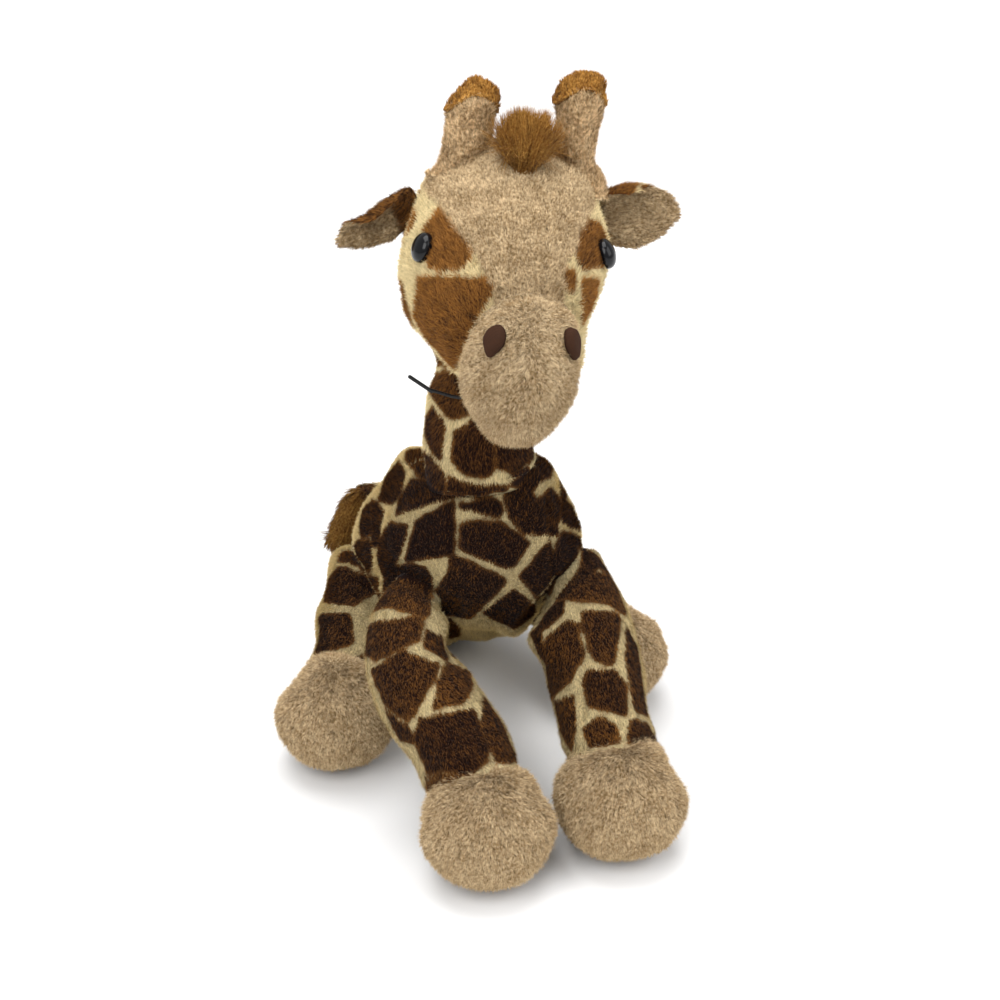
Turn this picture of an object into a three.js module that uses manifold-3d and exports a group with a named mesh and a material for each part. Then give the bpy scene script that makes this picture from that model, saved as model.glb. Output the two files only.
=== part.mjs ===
// Plush giraffe: a seated soft toy of stuffed fabric forms, sewn together and modelled in its sitting pose.
// Millimetres, +Z up. The giraffe faces -Y, its own left is +X, and the origin is the middle of the flat
// under its rump. Each limb, the neck, the head, the ears and the tail is a group on its own hinge point.
import * as THREE from 'three';
import { mergeVertices } from 'three/addons/utils/BufferGeometryUtils.js';
import Module from 'manifold-3d';

const wasm = await Module();
wasm.setup();

// Clearances
const seamGap = 0.3;          // between two forms that are sewn together and stay still
const socketGap = 0.5;        // round the ball end of a form that turns in its neighbour
const swingSpare = 3;         // degrees past each limit that a neighbour leaves free
const restFlat = 0.5;         // how deep the weight presses the rump and the hooves flat on the floor
const cutOverrun = 20;        // how far a cutting block runs past what it cuts
const floorReach = 400;       // half the size of the block that presses the floor flat

// Torso
const torsoLength = 110;      // rump to chest, along Y
const torsoRise = 110;        // middle of the rump to the neck seam
const torsoHalfWidth = 47;
const torsoHalfDepth = 42;

// Neck
const neckLength = 90;
const neckHalfWidth = 24;
const neckHalfDepth = 24;
const neckSeatDepth = 7;      // from the top of the torso down to the neck's hinge
const neckAside = 3;          // the neck's foot sits this far to the giraffe's right
const neckSway = 5;           // sideways drift of the neck's top
const neckBallRadius = 25;
const neckSwing = 12;         // degrees, each way

// Head, in its own frame before it is turned
const headLength = 96;
const headHalfWidth = 40.8;
const headHalfHeight = 44.5;
const headDrop = 38;          // how far the face runs down from the crown to the muzzle
const headLift = 24;          // from the neck's top ball up to the middle of the head
const headForward = 8;
const headBallRadius = 25;
const headTurn = -8;          // degrees about Z
const headTilt = 6;           // degrees about Y
const headNod = -12;          // degrees about X
const headSwing = 12;         // degrees, each way

// Muzzle
const muzzleHalfWidth = 24.3;
const muzzleHalfDepth = 26;
const muzzleHalfHeight = 31.5;
const muzzleForward = 52;     // ahead of the middle of the head
const muzzleDrop = 34.5;
const muzzleAside = 0.2;
const nostrilHalfWidth = 4;
const nostrilHalfHeight = 5.8;
const nostrilThickness = 2.4;
const nostrilProud = 0.8;

// Eyes
const eyeDiameter = 12;
const eyeProud = 3.6;         // height of the dome over its seat
const eyeSink = 1.6;          // how far the back of the dome sits below the plush
const shankDiameter = 4;
const shankLength = 10;
const washerDiameter = 11;
const washerThickness = 1.5;
const washerDepth = 5.5;      // from the back of the dome to the washer

// Horns
const hornLength = 43;        // from its root inside the head to its tip
const hornRootHeight = 22;    // over the middle of the head
const hornBehind = 3;
const hornBaseRadius = 13.5;
const hornTipRadius = 9.8;
const hornSpread = 22;        // each side of the middle of the head
const hornAside = 5;          // both horns sit this far to the giraffe's left
const leftHornExtra = 3.5;    // the left horn is this much longer
const capLength = 18;
const capProud = 0.8;         // the cap's plush stands over the horn's

// Forelock
const forelockHeight = 25;
const forelockHalfWidth = 15;
const forelockHalfDepth = 10;
const forelockForward = 22;   // its root on the brow, ahead of the middle of the head
const forelockRootHeight = 31;
const forelockAside = 1;      // to the giraffe's left

// Ears
const earLength = 32;
const earDroop = 16;          // how far the giraffe's right ear tip hangs under its root
const earPerk = 6;            // how far the left ear tip stands over its root
const earHalfWidth = 12.5;
const earHalfThickness = 4.6;
const earRootRadius = 6;
const liningLength = 25;
const liningHalfWidth = 8.5;
const liningHalfThickness = 2.4;
const earSwing = 18;          // degrees, each way

// Front legs
const frontLegHalfWidth = 20;
const frontLegHalfDepth = 20;
const frontLegReach = 85.5;   // hinge to the middle of the hoof, along Y
const frontShoulderSink = 3;  // how deep the hinge lies under the torso's skin
const frontBallRadius = 18;
const frontHoofRadius = 28.2;
const frontHoofHalfHeight = 27.5;
const rightFrontHoofAside = 28;
const leftFrontHoofAside = 31;
const rightLegBow = 11;       // how far the giraffe's right front leg bows out
const leftLegBow = -1;
const frontSwing = 12;        // degrees, each way

// Hind legs
const hindLegHalfWidth = 21;
const hindLegHalfDepth = 21;
const hindHipSink = 7;        // how deep the hinge lies under the torso's skin
const hindBallRadius = 23;
const hindHoofRadius = 26.5;
const hindHoofHalfHeight = 26.5;
const rightHindSpread = 33;   // how much further out the hoof is than the hip
const leftHindSpread = 26;
const rightHindReach = 71;    // hinge to the middle of the hoof, along Y
const leftHindReach = 59;
const hindSwing = 10;         // degrees, each way

// Tail
const tailStemLength = 26;    // sideways, to the giraffe's right
const tailStemRise = 13;
const tailStemRadius = 5;
const tailRootRadius = 6;
const tailTuftLength = 27;
const tailTuftRadius = 11;
const tailSwing = 15;         // degrees, each way

// Tag fastener left in the neck
const fastenerRadius = 0.7;
const fastenerLength = 15;
const fastenerBar = 11;
const fastenerSink = 4;
const fastenerStandoff = 2.1; // from the neck's skin to the filament's bend
const fastenerOverlap = 1.4;  // how far the bar runs back over the filament

// Pellet bag in the seat and the closing slit behind it
const bagHalfWidth = 16;
const bagHalfDepth = 14;
const bagHalfHeight = 12;
const bagFloor = 8;           // stuffing under the bag
const slitWidth = 1.2;
const slitHeight = 18;

// How finely the forms are faceted
const torsoFacets = 18;
const torsoRings = 11;
const headFacets = 16;
const headRings = 10;
const neckFacets = 14;
const neckRings = 6;
const limbFacets = 12;
const limbRings = 6;
const leafFacets = 8;
const leafRings = 5;
const tuftFacets = 10;
const tuftRings = 6;
const hoofFacets = 12;
const smallFacets = 8;
const eyeFacets = 12;
const spaceFacets = 10;
const domeSteps = 4;
const rodCurveSegments = 3;
const filamentSteps = 6;
const barSteps = 1;

const colours = {
  cream: 0xd8c79c,
  brown: 0x4f2d1a,
  tan: 0xc2a884,
  gold: 0x9d6c34,
  dark: 0x3a2416,
  black: 0x111111,
  white: 0xe9e6dc,
};

const X = new THREE.Vector3(1, 0, 0);
const Y = new THREE.Vector3(0, 1, 0);
const Z = new THREE.Vector3(0, 0, 1);
const vec = (x, y, z) => new THREE.Vector3(x, y, z);
const plain = new THREE.Matrix4();
const degrees = THREE.MathUtils.degToRad;

// Solids for cutting and joining
function toSolid(geometry, matrix = plain) {
  const bare = geometry.clone();
  bare.deleteAttribute('normal');
  bare.deleteAttribute('uv');
  const merged = mergeVertices(bare.applyMatrix4(matrix));
  return new wasm.Manifold(new wasm.Mesh({
    numProp: 3,
    vertProperties: Float32Array.from(merged.attributes.position.array),
    triVerts: Uint32Array.from(merged.index.array),
  }));
}

function toGeometry(solid) {
  const mesh = solid.getMesh();
  const geometry = new THREE.BufferGeometry();
  geometry.setAttribute('position', new THREE.BufferAttribute(Float32Array.from(mesh.vertProperties), 3));
  geometry.setIndex(new THREE.BufferAttribute(Uint32Array.from(mesh.triVerts), 1));
  return geometry;
}

const cut = (solid, ...cutters) => cutters.reduce((rest, cutter) => rest.subtract(cutter), solid);

// A stuffed form: oval rings on a smooth path. Each row is a place on the path and the oval's two half sizes.
// On a form that bends hard it is also the lean of its ring: the share of a full turn that it has risen
// from -Y.
function makeForm({ rows, side = X, rings = limbRings, facets = limbFacets, matrix = plain }) {
  const centres = new THREE.CatmullRomCurve3(rows.map((row) => row.at));
  const halves = new THREE.CatmullRomCurve3(rows.map((row) => vec(row.wide, row.deep, row.lean ?? 0)));
  const leaning = rows.every((row) => row.lean !== undefined);
  return { centres, halves, leaning, side, rings, facets, matrix };
}

// The ring frame at a share of the way along: its middle, its two half sizes and its three directions
function ringAt(form, along) {
  const middle = form.centres.getPoint(along);
  const half = form.halves.getPoint(along);
  const lean = 2 * Math.PI * half.z;
  const ahead = form.leaning ? vec(0, -Math.cos(lean), Math.sin(lean)) : form.centres.getTangent(along);
  const across = form.side.clone().addScaledVector(ahead, -form.side.dot(ahead)).normalize();
  const up = ahead.clone().cross(across);
  return { middle, half, ahead, across, up };
}

// A place on the form's skin and its outward direction, in the common frame, from two shares: of the way
// along the form, and of a full turn round it
function onSkin(form, { along, turn }, sink = 0) {
  const { middle, half, across, up } = ringAt(form, along);
  const angle = 2 * Math.PI * turn;
  const out = across.clone().multiplyScalar(Math.cos(angle) / half.x)
    .addScaledVector(up, Math.sin(angle) / half.y).normalize();
  const at = middle.clone().addScaledVector(across, half.x * Math.cos(angle))
    .addScaledVector(up, half.y * Math.sin(angle));
  return {
    at: at.addScaledVector(out, -sink).applyMatrix4(form.matrix),
    out: out.transformDirection(form.matrix),
  };
}

// The closed surface of a form, grown by a clearance. The space for a swing is also moved out on both sides
// by a length that depends on the ring's middle, and rounded out so that its flats clear a circle.
function formGeometry(form, grow = 0, swingAt = null) {
  const positions = [];
  const index = [];
  const { rings, facets } = form;
  const round = swingAt ? 1 / Math.cos(Math.PI / facets) : 1;
  const start = swingAt ? Math.PI / facets : 0;
  for (let i = 0; i <= rings; i += 1) {
    const { middle, half, across, up } = ringAt(form, i / rings);
    const aside = swingAt ? swingAt(middle) : 0;
    for (let k = 0; k < facets; k += 1) {
      const angle = start + 2 * Math.PI * k / facets;
      const wide = (half.x + grow) * round * Math.cos(angle);
      const deep = (half.y + grow) * round * Math.sin(angle) + aside * Math.sign(Math.sin(angle));
      positions.push(...middle.clone().addScaledVector(across, wide).addScaledVector(up, deep).toArray());
    }
  }
  const first = ringAt(form, 0);
  const last = ringAt(form, 1);
  const startPole = positions.length / 3;
  positions.push(...first.middle.clone().addScaledVector(first.ahead, -grow).toArray());
  positions.push(...last.middle.clone().addScaledVector(last.ahead, grow).toArray());
  for (let k = 0; k < facets; k += 1) {
    const next = (k + 1) % facets;
    for (let i = 0; i < rings; i += 1) {
      const low = i * facets;
      const high = low + facets;
      index.push(low + k, low + next, high + next, low + k, high + next, high + k);
    }
    index.push(startPole, next, k);
    index.push(startPole + 1, rings * facets + k, rings * facets + next);
  }
  const geometry = new THREE.BufferGeometry();
  geometry.setAttribute('position', new THREE.BufferAttribute(new Float32Array(positions), 3));
  geometry.setIndex(index);
  return geometry;
}

const formSolid = (form, grow = 0) => toSolid(formGeometry(form, grow), form.matrix);

// What a turning form needs its neighbour to leave free: its ball, and its length moved out by the swing
function swingSpace(form, hinge, ballRadius, swing) {
  const localHinge = hinge.clone().applyMatrix4(form.matrix.clone().invert());
  const swingAt = (middle) => middle.distanceTo(localHinge) * Math.sin(degrees(swing + swingSpare));
  const space = toSolid(formGeometry({ ...form, facets: spaceFacets }, socketGap, swingAt), form.matrix);
  return space.add(ball(hinge, (ballRadius + socketGap) / Math.cos(Math.PI / limbFacets) ** 2));
}

// Round and oval solids
const unitSphere = (facets) => new THREE.SphereGeometry(1, facets, Math.round(facets / 2));

function oval(at, wide, deep, high, grow = 0, matrix = plain, facets = hoofFacets) {
  const size = vec(wide + grow, deep + grow, high + grow);
  const place = new THREE.Matrix4().compose(at, new THREE.Quaternion(), size);
  const upright = new THREE.Matrix4().makeRotationX(Math.PI / 2);
  return toSolid(unitSphere(facets), place.premultiply(matrix).multiply(upright));
}

const ball = (at, radius, facets = limbFacets) => oval(at, radius, radius, radius, 0, plain, facets);

function box(low, high, matrix = plain) {
  const size = high.clone().sub(low);
  const middle = high.clone().add(low).multiplyScalar(0.5);
  const geometry = new THREE.BoxGeometry(size.x, size.y, size.z);
  return toSolid(geometry.translate(middle.x, middle.y, middle.z), matrix);
}

// Everything under the floor is pressed flat
const underFloor = box(vec(-floorReach, -floorReach, -cutOverrun), vec(floorReach, floorReach, 0));

// A frame with +Y along a direction and +Z as near upright as that allows
function aim(at, out, upright = Z) {
  const up = upright.clone().addScaledVector(out, -out.dot(upright)).normalize();
  return new THREE.Matrix4().makeBasis(out.clone().cross(up), out, up).setPosition(at);
}

// A turned solid about the local +Y of a frame, from points of radius and height
function turned(points, matrix = plain, facets = eyeFacets) {
  const outline = points.map(([radius, height]) => new THREE.Vector2(radius, height));
  return toSolid(new THREE.LatheGeometry(outline, facets), matrix);
}

// Torso
const torsoShares = [
  // back to front, up, half width, half depth, lean
  [0.00, 0.000, 0.10, 0.12, 0.00],
  [0.06, 0.000, 0.64, 0.72, 0.03],
  [0.17, 0.065, 0.91, 0.92, 0.08],
  [0.45, 0.365, 0.98, 1.00, 0.12],
  [0.75, 0.570, 0.97, 0.98, 0.13],
  [0.96, 0.740, 0.96, 0.90, 0.17],
  [1.00, 0.870, 0.76, 0.80, 0.21],
  [0.95, 1.000, 0.50, 0.56, 0.25],
];

function torsoForm(offset) {
  const rows = torsoShares.map(([back, rise, wide, deep, lean]) => ({
    at: vec(0, -back * torsoLength, rise * torsoRise).sub(offset),
    wide: wide * torsoHalfWidth,
    deep: deep * torsoHalfDepth,
    lean,
  }));
  return makeForm({ rows, rings: torsoRings, facets: torsoFacets });
}

// Where the rump touches the floor once its weight has pressed it flat
function restPlace(form) {
  const solid = formSolid(form);
  const low = solid.boundingBox().min[2];
  const reach = vec(floorReach, floorReach, 0);
  const slab = box(reach.clone().negate().setZ(low - restFlat), reach.clone().setZ(low + restFlat));
  const pressed = solid.intersect(slab).boundingBox();
  return vec(0, (pressed.min[1] + pressed.max[1]) / 2, low);
}

const rumpLow = restPlace(torsoForm(vec(0, 0, 0)));
const torso = torsoForm(vec(0, rumpLow.y, rumpLow.z + restFlat));
const torsoTop = torso.centres.getPoint(1);

// Neck
const neckHinge = torsoTop.clone().add(vec(-neckAside, 0, -neckSeatDepth));
const neckShares = [
  // aside, back, up, half width, half depth
  [0.0, 0.00, 0.0, 1.02, 1.02],
  [0.1, 0.07, 0.2, 1.00, 1.00],
  [0.4, 0.06, 0.46, 0.96, 0.96],
  [0.7, -0.01, 0.72, 1.02, 1.02],
  [1.0, -0.10, 1.0, 1.03, 1.03],
];
const neck = makeForm({
  rows: neckShares.map(([aside, back, up, wide, deep]) => ({
    at: neckHinge.clone().add(vec(aside * neckSway, back * neckLength, up * neckLength)),
    wide: wide * neckHalfWidth,
    deep: deep * neckHalfDepth,
  })),
  rings: neckRings,
  facets: neckFacets,
});
const headHinge = neck.centres.getPoint(1);

// Head frame: the middle of the head, turned, tilted and nodded
const headMiddle = headHinge.clone().add(vec(0, -headForward, headLift));
const headFrame = new THREE.Matrix4().makeTranslation(headMiddle)
  .multiply(new THREE.Matrix4().makeRotationZ(degrees(headTurn)))
  .multiply(new THREE.Matrix4().makeRotationY(degrees(headTilt)))
  .multiply(new THREE.Matrix4().makeRotationX(degrees(headNod)));
const headMiddleShare = 0.46;
const headShares = [
  // crown to nose, down, half width, half height
  [0.00, 0.00, 0.14, 0.14],
  [0.05, -0.02, 0.52, 0.52],
  [0.21, -0.02, 0.86, 0.88],
  [0.44, 0.08, 1.00, 1.00],
  [0.64, 0.31, 0.96, 0.96],
  [0.81, 0.62, 0.83, 0.78],
  [0.94, 0.90, 0.60, 0.52],
  [1.00, 1.00, 0.24, 0.18],
];
const head = makeForm({
  rows: headShares.map(([front, down, wide, high]) => ({
    at: vec(0, (headMiddleShare - front) * headLength, -down * headDrop),
    wide: wide * headHalfWidth,
    deep: high * headHalfHeight,
  })),
  rings: headRings,
  facets: headFacets,
  matrix: headFrame,
});

// Muzzle, an egg of plush sewn over the front of the head
const muzzleMiddle = vec(muzzleAside, -muzzleForward, -muzzleDrop);
const muzzleOval = (grow = 0) => oval(
  muzzleMiddle, muzzleHalfWidth, muzzleHalfDepth, muzzleHalfHeight, grow, headFrame,
);
const nostrilShares = { aside: 0.6, front: -0.66, up: 0.43 };

function nostrilSolid(hand, grow = 0) {
  const size = vec(muzzleHalfWidth, muzzleHalfDepth, muzzleHalfHeight);
  const share = vec(hand * nostrilShares.aside, nostrilShares.front, nostrilShares.up).normalize();
  const at = share.clone().multiply(size).add(muzzleMiddle);
  const out = share.clone().divide(size).normalize();
  const frame = aim(at.addScaledVector(out, nostrilProud - nostrilThickness / 2), out);
  const local = new THREE.Matrix4().multiplyMatrices(headFrame, frame);
  const middle = vec(0, 0, 0);
  return oval(middle, nostrilHalfWidth, nostrilThickness / 2, nostrilHalfHeight, grow, local, smallFacets);
}

// Plastic eyes: a dome on a shank that a washer holds from inside the head
const eyeShares = {
  right: { along: 0.55, turn: 0.438 },
  left: { along: 0.575, turn: 0.078 },
};

function eyeFrame(name) {
  const { at, out } = onSkin(head, eyeShares[name], eyeSink);
  return aim(at, out);
}

function eyeSolid(name, grow = 0) {
  const radius = eyeDiameter / 2 + grow;
  const shank = shankDiameter / 2 + grow;
  const foot = -shankLength - grow;
  const outline = [[0, foot], [shank, foot], [shank, -grow], [radius, -grow]];
  for (let i = 0; i < domeSteps; i += 1) {
    const angle = Math.PI / 2 * i / domeSteps;
    outline.push([radius * Math.cos(angle), eyeSink + (eyeProud + grow) * Math.sin(angle)]);
  }
  outline.push([0, eyeSink + eyeProud + grow]);
  return turned(outline, eyeFrame(name));
}

function washerSolid(name) {
  const inner = shankDiameter / 2 + seamGap;
  const outer = washerDiameter / 2;
  const low = -washerDepth - washerThickness;
  const high = -washerDepth;
  return turned([[inner, low], [outer, low], [outer, high], [inner, high], [inner, low]], eyeFrame(name));
}

function washerSpace(name) {
  const outer = washerDiameter / 2 + seamGap;
  const low = -washerDepth - washerThickness - seamGap;
  const high = seamGap - washerDepth;
  return turned([[0, low], [outer, low], [outer, high], [0, high]], eyeFrame(name));
}

// Horns: a tapered stub with a cap of longer plush on its end
const hornShares = [
  // up, share of the way from the tip's radius to the base's, share of that radius
  [0.00, 1.00, 1.00],
  [0.30, 0.55, 1.00],
  [0.60, 0.18, 1.00],
  [0.84, 0.00, 1.00],
  [0.95, 0.00, 0.72],
  [1.00, 0.00, 0.22],
];

function hornForm({ hand, length }) {
  const rows = hornShares.map(([up, flare, round]) => {
    const radius = (hornTipRadius + (hornBaseRadius - hornTipRadius) * flare) * round;
    const at = vec(hand * hornSpread + hornAside, hornBehind, hornRootHeight + up * length);
    return { at, wide: radius, deep: radius };
  });
  return makeForm({ rows, matrix: headFrame });
}

function overCapSeam({ hand, length }, lift) {
  const seam = hornRootHeight + length - capLength + lift;
  const reach = hornBaseRadius + cutOverrun;
  const low = vec(hand * hornSpread + hornAside - reach, hornBehind - reach, seam);
  const high = vec(hand * hornSpread + hornAside + reach, hornBehind + reach, seam + length);
  return box(low, high, headFrame);
}

// Forelock: a fan of long fur from the brow, narrow at its root
const forelockShares = [
  // up, back, half width, half depth
  [0.00, 0.00, 0.30, 0.35],
  [0.25, 0.02, 0.70, 0.80],
  [0.55, 0.12, 1.00, 1.00],
  [0.85, 0.25, 0.85, 0.80],
  [1.00, 0.30, 0.35, 0.30],
];
const forelock = makeForm({
  rows: forelockShares.map(([up, back, wide, deep]) => ({
    at: vec(forelockAside, back * forelockHeight - forelockForward, forelockRootHeight + up * forelockHeight),
    wide: wide * forelockHalfWidth,
    deep: deep * forelockHalfDepth,
  })),
  rings: tuftRings,
  facets: tuftFacets,
  matrix: headFrame,
});

// Ears: a leaf with a lining let into its front
const earShares = [
  // out, half width, half thickness
  [0.00, 0.46, 1.00],
  [0.22, 0.88, 1.00],
  [0.52, 1.00, 0.95],
  [0.82, 0.66, 0.80],
  [1.00, 0.16, 0.35],
];
const liningShares = [
  [0.00, 0.40, 0.30],
  [0.22, 0.88, 0.80],
  [0.52, 1.00, 1.00],
  [0.82, 0.66, 0.75],
  [1.00, 0.16, 0.25],
];
const liningStartShare = 0.17;
const liningProudShare = 0.75;
const earRootShares = {
  right: { along: 0.38, turn: 0.436 },
  left: { along: 0.38, turn: 0.061 },
};
const earSides = {
  right: { hand: -1, drop: earDroop },
  left: { hand: 1, drop: -earPerk },
};

function earParts(name) {
  const { hand, drop } = earSides[name];
  const hinge = onSkin(head, earRootShares[name], earRootRadius / 2).at;
  const root = hinge.clone().applyMatrix4(headFrame.clone().invert());
  const leafShape = { side: Z, rings: leafRings, facets: leafFacets, matrix: headFrame };
  const leafForm = (rows) => makeForm({ rows, ...leafShape });
  const leaf = leafForm(earShares.map(([out, wide, thick]) => ({
    at: root.clone().add(vec(hand * out * earLength, 0, -out * drop)),
    wide: wide * earHalfWidth,
    deep: thick * earHalfThickness,
  })));
  const lining = leafForm(liningShares.map(([out, wide, thick]) => {
    const share = liningStartShare + out * liningLength / earLength;
    const at = vec(hand * share * earLength, -earHalfThickness * liningProudShare, -share * drop).add(root);
    return { at, wide: wide * liningHalfWidth, deep: thick * liningHalfThickness };
  }));
  return { leaf, lining, hinge };
}

// Front legs
const frontLegShares = [
  // to the hoof, bow, half width, half depth
  [0.00, 0.0, 0.90, 0.90],
  [0.20, 0.8, 1.02, 1.02],
  [0.42, 0.9, 1.06, 1.06],
  [0.68, 0.45, 1.06, 1.06],
  [0.88, 0.15, 1.02, 1.02],
  [1.00, 0.0, 0.90, 0.90],
];
const shoulderShares = { along: 0.66, turn: -0.092 };
const frontSides = {
  right: { hand: -1, bow: rightLegBow, aside: rightFrontHoofAside },
  left: { hand: 1, bow: leftLegBow, aside: leftFrontHoofAside },
};

// The same place on the giraffe's right or left: hand is -1 or 1
const onSide = ({ along, turn }, hand) => ({ along, turn: hand > 0 ? turn : 1 / 2 - turn });

function frontLegParts(name) {
  const { hand, bow, aside } = frontSides[name];
  const hinge = onSkin(torso, onSide(shoulderShares, hand), frontShoulderSink).at;
  const hoof = vec(hand * aside, hinge.y - frontLegReach, frontHoofHalfHeight - restFlat);
  const leg = makeForm({
    rows: frontLegShares.map(([share, out, wide, deep]) => ({
      at: hinge.clone().lerp(hoof, share).add(vec(hand * bow * out, 0, 0)),
      wide: wide * frontLegHalfWidth,
      deep: deep * frontLegHalfDepth,
    })),
  });
  const hoofSolid = (grow = 0) => oval(hoof, frontHoofRadius, frontHoofRadius, frontHoofHalfHeight, grow);
  return { hinge, leg, hoof, hoofSolid };
}

// Hind legs
const hindLegShares = [
  // to the hoof, lift, half width, half depth
  [0.00, 0.00, 1.08, 1.08],
  [0.22, 0.06, 1.12, 1.12],
  [0.48, 0.08, 0.96, 0.96],
  [0.74, 0.04, 0.84, 0.84],
  [1.00, 0.00, 0.74, 0.74],
];
const hipShares = { along: 0.33, turn: -0.022 };
const hindSides = {
  right: { hand: -1, spread: rightHindSpread, reach: rightHindReach },
  left: { hand: 1, spread: leftHindSpread, reach: leftHindReach },
};

function hindLegParts(name) {
  const { hand, spread, reach } = hindSides[name];
  const hinge = onSkin(torso, onSide(hipShares, hand), hindHipSink).at;
  const hoof = vec(hinge.x + hand * spread, hinge.y - reach, hindHoofHalfHeight - restFlat);
  const leg = makeForm({
    rows: hindLegShares.map(([share, lift, wide, deep]) => ({
      at: hinge.clone().lerp(hoof, share).add(vec(0, 0, lift * reach)),
      wide: wide * hindLegHalfWidth,
      deep: deep * hindLegHalfDepth,
    })),
    side: Z,
  });
  const hoofSolid = (grow = 0) => oval(hoof, hindHoofRadius, hindHoofRadius, hindHoofHalfHeight, grow);
  return { hinge, leg, hoof, hoofSolid };
}

// Tail: a stem that curls up to the giraffe's right and a hanging tuft
const tailRootShares = { along: 0.19, turn: 0.269 };
const tailHinge = onSkin(torso, tailRootShares, tailRootRadius / 2).at;
const stemShares = [
  // aside, back, up, radius
  [0.0, 0.0, 0.0, 1.0],
  [0.3, 0.25, 0.55, 1.0],
  [0.7, 0.3, 0.95, 1.0],
  [1.0, 0.25, 1.0, 1.1],
];
const tailStem = makeForm({
  rows: stemShares.map(([aside, back, up, radius]) => ({
    at: tailHinge.clone().add(vec(-aside * tailStemLength, back * tailStemLength, up * tailStemRise)),
    wide: radius * tailStemRadius,
    deep: radius * tailStemRadius,
  })),
  side: Z,
  rings: leafRings,
  facets: leafFacets,
});
const stemEnd = tailStem.centres.getPoint(1);
const tuftShares = [
  // aside, back, down, radius
  [-0.05, 0.00, -0.12, 0.30],
  [0.00, 0.00, -0.04, 0.62],
  [0.12, 0.03, 0.22, 0.95],
  [0.26, 0.05, 0.55, 1.00],
  [0.40, 0.06, 0.85, 0.80],
  [0.46, 0.06, 1.00, 0.30],
];
const tailTuft = makeForm({
  rows: tuftShares.map(([aside, back, down, radius]) => ({
    at: stemEnd.clone().add(vec(-aside, back, -down).multiplyScalar(tailTuftLength)),
    wide: radius * tailTuftRadius,
    deep: radius * tailTuftRadius,
  })),
  side: Y,
  rings: tuftRings,
  facets: tuftFacets,
});

// Tag fastener: a plastic filament out of the neck with a bar on its end
const fastenerRootShares = { along: 0.665, turn: 0.644 };
const filamentOutShares = vec(-0.93, 0, 0.36);
const barOutShares = vec(-0.75, 0, 0.66);

function rodSolid(points, radius, steps) {
  const circle = new THREE.Shape().absarc(0, 0, radius, 0, 2 * Math.PI);
  const extrudePath = new THREE.CatmullRomCurve3(points);
  const settings = { curveSegments: rodCurveSegments, steps, bevelEnabled: false, extrudePath };
  return toSolid(new THREE.ExtrudeGeometry(circle, settings));
}

function fastenerSolid(grow = 0) {
  const radius = fastenerRadius + grow;
  const root = onSkin(neck, fastenerRootShares, fastenerSink + grow).at;
  const bend = onSkin(neck, fastenerRootShares, -fastenerStandoff).at;
  const end = bend.clone().add(filamentOutShares.clone().setLength(fastenerLength));
  const barStart = end.clone().add(barOutShares.clone().setLength(-fastenerOverlap));
  const barEnd = end.clone().add(barOutShares.clone().setLength(fastenerBar));
  const filament = rodSolid([root, bend, end], radius, filamentSteps);
  return filament.add(rodSolid([barStart, barEnd], radius, barSteps));
}

// Pellet bag in the seat, put in through a slit that is sewn shut behind it
const bagMiddle = vec(0, 0, bagFloor + bagHalfHeight);
const bagOval = (grow = 0) => oval(
  bagMiddle, bagHalfWidth, bagHalfDepth, bagHalfHeight, grow, plain, smallFacets,
);
const closingSlit = box(
  vec(-slitWidth / 2, 0, bagMiddle.z - slitHeight / 2),
  vec(slitWidth / 2, torsoLength, bagMiddle.z + slitHeight / 2),
);

// Cutting, the larger forms first
const sides = ['right', 'left'];
const front = Object.fromEntries(sides.map((name) => [name, frontLegParts(name)]));
const hind = Object.fromEntries(sides.map((name) => [name, hindLegParts(name)]));
const ears = Object.fromEntries(sides.map((name) => [name, earParts(name)]));
const hornSides = {
  right: { hand: -1, length: hornLength },
  left: { hand: 1, length: hornLength + leftHornExtra },
};
const horns = Object.fromEntries(sides.map((name) => [name, hornForm(hornSides[name])]));

const torsoSolid = cut(
  formSolid(torso),
  underFloor,
  swingSpace(neck, neckHinge, neckBallRadius, neckSwing),
  ...sides.map((name) => swingSpace(front[name].leg, front[name].hinge, frontBallRadius, frontSwing)),
  ...sides.map((name) => swingSpace(hind[name].leg, hind[name].hinge, hindBallRadius, hindSwing)),
  swingSpace(tailStem, tailHinge, tailRootRadius, tailSwing),
  bagOval(seamGap),
  closingSlit,
);
const neckSolid = cut(
  formSolid(neck).add(ball(neckHinge, neckBallRadius)).add(ball(headHinge, headBallRadius)),
  fastenerSolid(seamGap),
);
const headSolid = cut(
  formSolid(head),
  swingSpace(neck, headHinge, headBallRadius, headSwing),
  ...sides.flatMap((name) => [eyeSolid(name, seamGap), washerSpace(name)]),
  ...sides.map((name) => swingSpace(ears[name].leaf, ears[name].hinge, earRootRadius, earSwing)),
);
const nostrils = { right: -1, left: 1 };
const muzzleSolid = cut(
  muzzleOval(),
  formSolid(head, seamGap),
  ...sides.map((name) => nostrilSolid(nostrils[name], seamGap)),
);

function hornSolids(name) {
  const body = cut(
    formSolid(horns[name]),
    overCapSeam(hornSides[name], 0),
    formSolid(head, seamGap),
    swingSpace(ears[name].leaf, ears[name].hinge, earRootRadius, earSwing),
  );
  const cap = formSolid(horns[name], capProud).intersect(overCapSeam(hornSides[name], seamGap));
  return { body, cap };
}

function earSolids(name) {
  const { leaf, lining, hinge } = ears[name];
  return {
    leaf: cut(formSolid(leaf).add(ball(hinge, earRootRadius)), formSolid(lining, seamGap)),
    lining: formSolid(lining),
  };
}

const hornPieces = Object.fromEntries(sides.map((name) => [name, hornSolids(name)]));
const earPieces = Object.fromEntries(sides.map((name) => [name, earSolids(name)]));
const forelockSolid = cut(
  formSolid(forelock),
  formSolid(head, seamGap),
  ...sides.map((name) => formSolid(horns[name], capProud + seamGap)),
);

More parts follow.
